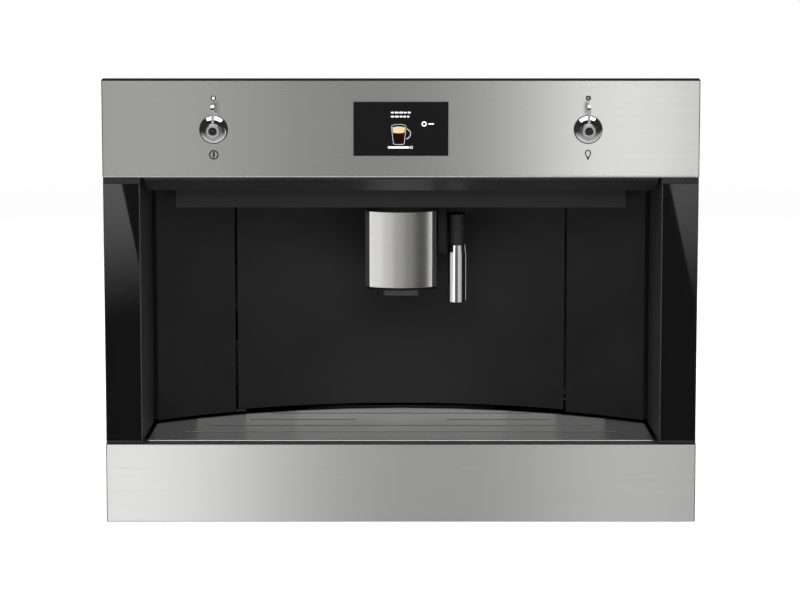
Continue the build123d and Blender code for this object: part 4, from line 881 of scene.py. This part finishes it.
def makeFloor():
    bm = bmesh.new()
    bmesh.ops.create_circle(bm, cap_ends=True, radius=floorLook["radius"], segments=64)
    mesh = bpy.data.meshes.new("floor")
    bm.to_mesh(mesh)
    bm.free()
    floor = bpy.data.objects.new("floor", mesh)
    scene.collection.objects.link(floor)
    material, tree, shader = startMaterial("paleFloor", Roughness=0.8)
    point = objectPoint(tree)
    shade = mixColor(tree, noise(tree, point, 3.0), (*floorLook["color"], 1), (*floorLook["second"], 1))
    tree.links.new(shade, shader.inputs["Base Color"])
    length = addNode(tree, "ShaderNodeVectorMath", operation="LENGTH")
    tree.links.new(point, length.inputs[0])
    cover = mapRange(tree, length.outputs["Value"], floorLook["full"], floorLook["gone"], 1.0, 0.0, True)
    tree.links.new(cover, shader.inputs["Alpha"])
    mesh.materials.append(material)
    floor.visible_glossy = False        # the steel reflects the softboxes alone


studio = dict(backdrop=1.0, dark=0.03, front=0.10, low=0.70)


def makeWorld():
    world = bpy.data.worlds.new("studio")
    scene.world = world
    world.use_nodes = True
    tree = world.node_tree
    tree.nodes.clear()
    axes = addNode(tree, "ShaderNodeSeparateXYZ")
    tree.links.new(addNode(tree, "ShaderNodeTexCoord").outputs["Generated"], axes.inputs[0])
    ahead = mapRange(tree, axes.outputs["Y"], -0.55, -0.93, 0.0, studio["front"], True)
    below = mapRange(tree, axes.outputs["Z"], -0.2, -0.8, 0.0, studio["low"], True)
    level = doMath(tree, "ADD", doMath(tree, "MAXIMUM", ahead, below), studio["dark"])
    seen = addNode(tree, "ShaderNodeLightPath").outputs["Is Camera Ray"]
    strength = mapRange(tree, seen, 0.0, 1.0, level, studio["backdrop"])
    background = addNode(tree, "ShaderNodeBackground")
    background.inputs["Color"].default_value = (1, 1, 1, 1)
    tree.links.new(strength, background.inputs["Strength"])
    output = addNode(tree, "ShaderNodeOutputWorld")
    tree.links.new(background.outputs[0], output.inputs["Surface"])


# the casing behind the front has lamps of its own, so that it reads from behind and above
casing = ["top_cover", "side_panels", "rear_panel", "outer_rails", "middle_rails", "inner_rails",
          "side_flanges",
          "bean_lid", "funnel_lid", "tank_lid", "water_tank", "mains_inlet", "panel_back_cover"]
softboxes = {
    # place and aim in metres, size across and up, brightness of the face
    "topBox": dict(place=(0.0, -0.3, 2.6), aim=(0, -0.1, 0), size=(4.0, 3.2), bright=4.2,
                   leaves=["control_panel", *casing]),
    "casingTop": dict(place=(0.0, 0.4, 2.8), aim=(0, 0, 0), size=(4.6, 4.6), bright=1.1, only=casing),
    "casingBack": dict(place=(0.0, 3.2, 1.1), aim=(0, 0, 0.25), size=(5.0, 2.6), bright=1.5, only=casing),
    "casingLeft": dict(place=(-3.2, 0.5, 1.1), aim=(0, 0, 0.2), size=(3.6, 2.4), bright=1.5, only=casing),
    "casingRight": dict(place=(3.2, 0.5, 1.1), aim=(0, 0, 0.2), size=(3.6, 2.4), bright=1.8, only=casing),
    "frontBox": dict(place=(0.0, -3.2, 1.9), aim=(0, 0, 0.25), size=(2.6, 1.4), bright=2.8,
                     leaves=["control_panel", "lower_panel"]),
    "knobStrip": dict(place=(1.7, -0.5, -0.25), aim=(0.19, -0.2, 0.4), size=(0.10, 0.6), bright=2.0,
                      only=["knob_escutcheons"]),
    "floorFill": dict(place=(0.0, -0.3, 3.0), aim=(0, -0.3, 0), size=(6.0, 6.0), bright=0.9, only=["floor"]),
    "sleeveEdge": dict(place=(0.0813, -0.0576, 0.24), aim=(0.0578, -0.09, 0.24), size=(0.012, 0.07),
                       bright=0.9, only=["water_sleeve"]),
    "sleeveGap": dict(place=(0.0425, -0.112, 0.24), aim=(0.2, -0.105, 0.24), size=(0.03, 0.075), bright=0.66,
                      only=["water_sleeve"]),
}

view = dict(distance=3.4, height=0.775, pitch=8.7, lens=154.1, shiftX=-0.0011, shiftY=-0.0325)

# upright strips of light that the front mirrors: where each shows on it in the main view, and how brightly
banks = {
    "control_panel": dict(z=0.40, away=0.7, size=(0.11, 0.6),
                          strips=((-0.30, 0.75), (-0.19, 0.56), (-0.08, 0.24), (0.03, 0.13), (0.12, 0.33),
                                  (0.21, 1.80), (0.30, 1.06))),
    "lower_panel": dict(z=0.04, away=1.0, size=(0.16, 0.7),
                        strips=((-0.32, 1.95), (-0.22, 1.28), (-0.12, 0.45), (0.02, 0.37),
                                (0.20, 0.94), (0.31, 0.80))),
    "display_glass": dict(z=0.40, away=1.0, size=(0.5, 0.5), strips=((0.0, 0.14),)),
    "left_lever": dict(z=0.41, away=0.8, size=(0.5, 0.5), strips=((-0.187, 0.42),)),
    "right_lever": dict(z=0.41, away=0.8, size=(0.5, 0.5), strips=((0.187, 0.42),)),
}
# slanted cards that fade downwards, mirrored by the glass pillars
cards = {
    "leftCard": dict(shows=(-0.2953, 0.2730), away=0.5, size=(0.069, 0.170), bright=2.0, tilt=11.5),
    "rightCard": dict(shows=(0.3142, 0.2820), away=0.5, size=(0.069, 0.165), bright=1.5, tilt=12.5),
}
# upright lamps in a ring around a round part: degrees from straight ahead (right is positive), how wide
# in degrees, and how brightly
rings = {
    "spout_cover": dict(axis=(0.0, 134.0), away=0.9, z=0.27, tall=1.0,
                        lamps=((-64, 18, 1.5), (-44, 20, 1.1), (-24, 20, 0.72), (-4, 20, 0.40),
                               (16, 20, 0.19), (61, 14, 1.25))),
    "water_sleeve": dict(axis=(57.8, 110.0), away=0.9, z=0.24, tall=1.0,
                         lamps=((-36, 32, 0.74), (43, 58, 0.55))),
}
# low lamps along the foot of the curved wall, whose light the cup grille mirrors
footLamps = dict(axisDepth=-226.5, radius=408.5, z=0.1080, tall=0.050, turn=7.8,
                 levels=(0.170, 0.185, 0.180, 0.108, 0.062))       # from the middle outwards


def fadeLamp(lamp):
    # dark at the bottom edge
    lamp.use_nodes = True
    tree = lamp.node_tree
    glow = next(n for n in tree.nodes if n.type == "EMISSION")
    axes = addNode(tree, "ShaderNodeSeparateXYZ")
    tree.links.new(addNode(tree, "ShaderNodeNewGeometry").outputs["Parametric"], axes.inputs[0])
    tree.links.new(mapRange(tree, axes.outputs["Y"], 0.0, 1.0, 0.0, 1.0, True), glow.inputs["Strength"])


def makeSoftbox(name, look):
    width, height = look["size"]
    lamp = bpy.data.lights.new(name, "AREA")
    lamp.shape = "RECTANGLE"
    lamp.size = width
    lamp.size_y = height
    lamp.energy = look["bright"] * math.pi * width * height
    box = bpy.data.objects.new(name, lamp)
    box.visible_camera = False
    scene.collection.objects.link(box)
    place, aim = Vector(look["place"]), Vector(look["aim"])
    turn = (aim - place).to_track_quat("-Z", "Y").to_matrix().to_4x4()
    tilt = Matrix.Rotation(math.radians(look.get("tilt", 0)), 4, "Z")
    box.matrix_world = Matrix.Translation(place) @ turn @ tilt
    if "only" in look or "leaves" in look:
        chosen = bpy.data.collections.new(name + "Parts")
        for part in look.get("only", look.get("leaves")):
            chosen.objects.link(bpy.data.objects[part] if part == "floor" else nodes[part])
        if "leaves" in look:
            for entry in chosen.collection_objects:
                entry.light_linking.link_state = "EXCLUDE"
        box.light_linking.receiver_collection = chosen
    if look.get("fade"):
        fadeLamp(lamp)


def mirrored(shows, away):
    # where a lamp this far before the front shows at the point (x, z) of it in the main view
    x, z = shows
    grow = 1 + away / view["distance"]
    return x * grow, frontY - away, view["height"] + (z - view["height"]) * grow


def makeStrip(name, look):
    place = mirrored(look["shows"], look["away"])
    makeSoftbox(name, dict(look, place=place, aim=(place[0], frontY, place[2])))


def makeRing(part, ring):
    x, depth = ring["axis"]
    x, y = x * mm, frontY + depth * mm
    for number, (degrees, wide, bright) in enumerate(ring["lamps"]):
        turn = math.radians(degrees)
        place = (x + ring["away"] * math.sin(turn), y - ring["away"] * math.cos(turn), ring["z"])
        size = (2 * ring["away"] * math.tan(math.radians(wide / 2)), ring["tall"])
        makeSoftbox(f"{part}Ring{number}", dict(place=place, aim=(x, y, ring["z"]), size=size, bright=bright,
                                                only=[part]))


def makeFootLamps():
    y, radius, z = frontY + footLamps["axisDepth"] * mm, footLamps["radius"] * mm, footLamps["z"]
    wide = 2 * radius * math.tan(math.radians(footLamps["turn"]))      # each overlaps half of the next
    count = len(footLamps["levels"])
    for step in range(1 - count, count):
        turn = math.radians(step * footLamps["turn"])
        place = (radius * math.sin(turn), y + radius * math.cos(turn), z)
        makeSoftbox(f"footLamp{step + count}",
                    dict(place=place, aim=(0.0, y, z), size=(wide, footLamps["tall"]),
                         bright=footLamps["levels"][abs(step)], only=["cup_grille"]))


makeFloor()
makeWorld()
for name, look in softboxes.items():
    makeSoftbox(name, look)
for part, bank in banks.items():
    for number, (x, bright) in enumerate(bank["strips"]):
        makeStrip(f"{part}Strip{number}", dict(bank, shows=(x, bank["z"]), bright=bright, only=[part]))
for name, card in cards.items():
    makeStrip(name, dict(card, fade=True, only=["pillar_glasses"]))
for part, ring in rings.items():
    makeRing(part, ring)
makeFootLamps()

camera = bpy.data.objects.new("camera", bpy.data.cameras.new("camera"))
scene.collection.objects.link(camera)
camera.location = (0.0, frontY - view["distance"], view["height"])
camera.rotation_euler = (math.radians(90 - view["pitch"]), 0.0, 0.0)
camera.data.lens = view["lens"]
camera.data.sensor_width = 36.0
camera.data.shift_x = view["shiftX"]
camera.data.shift_y = view["shiftY"]
scene.camera = camera
scene.view_settings.view_transform = "Standard"
print("studio and camera made")
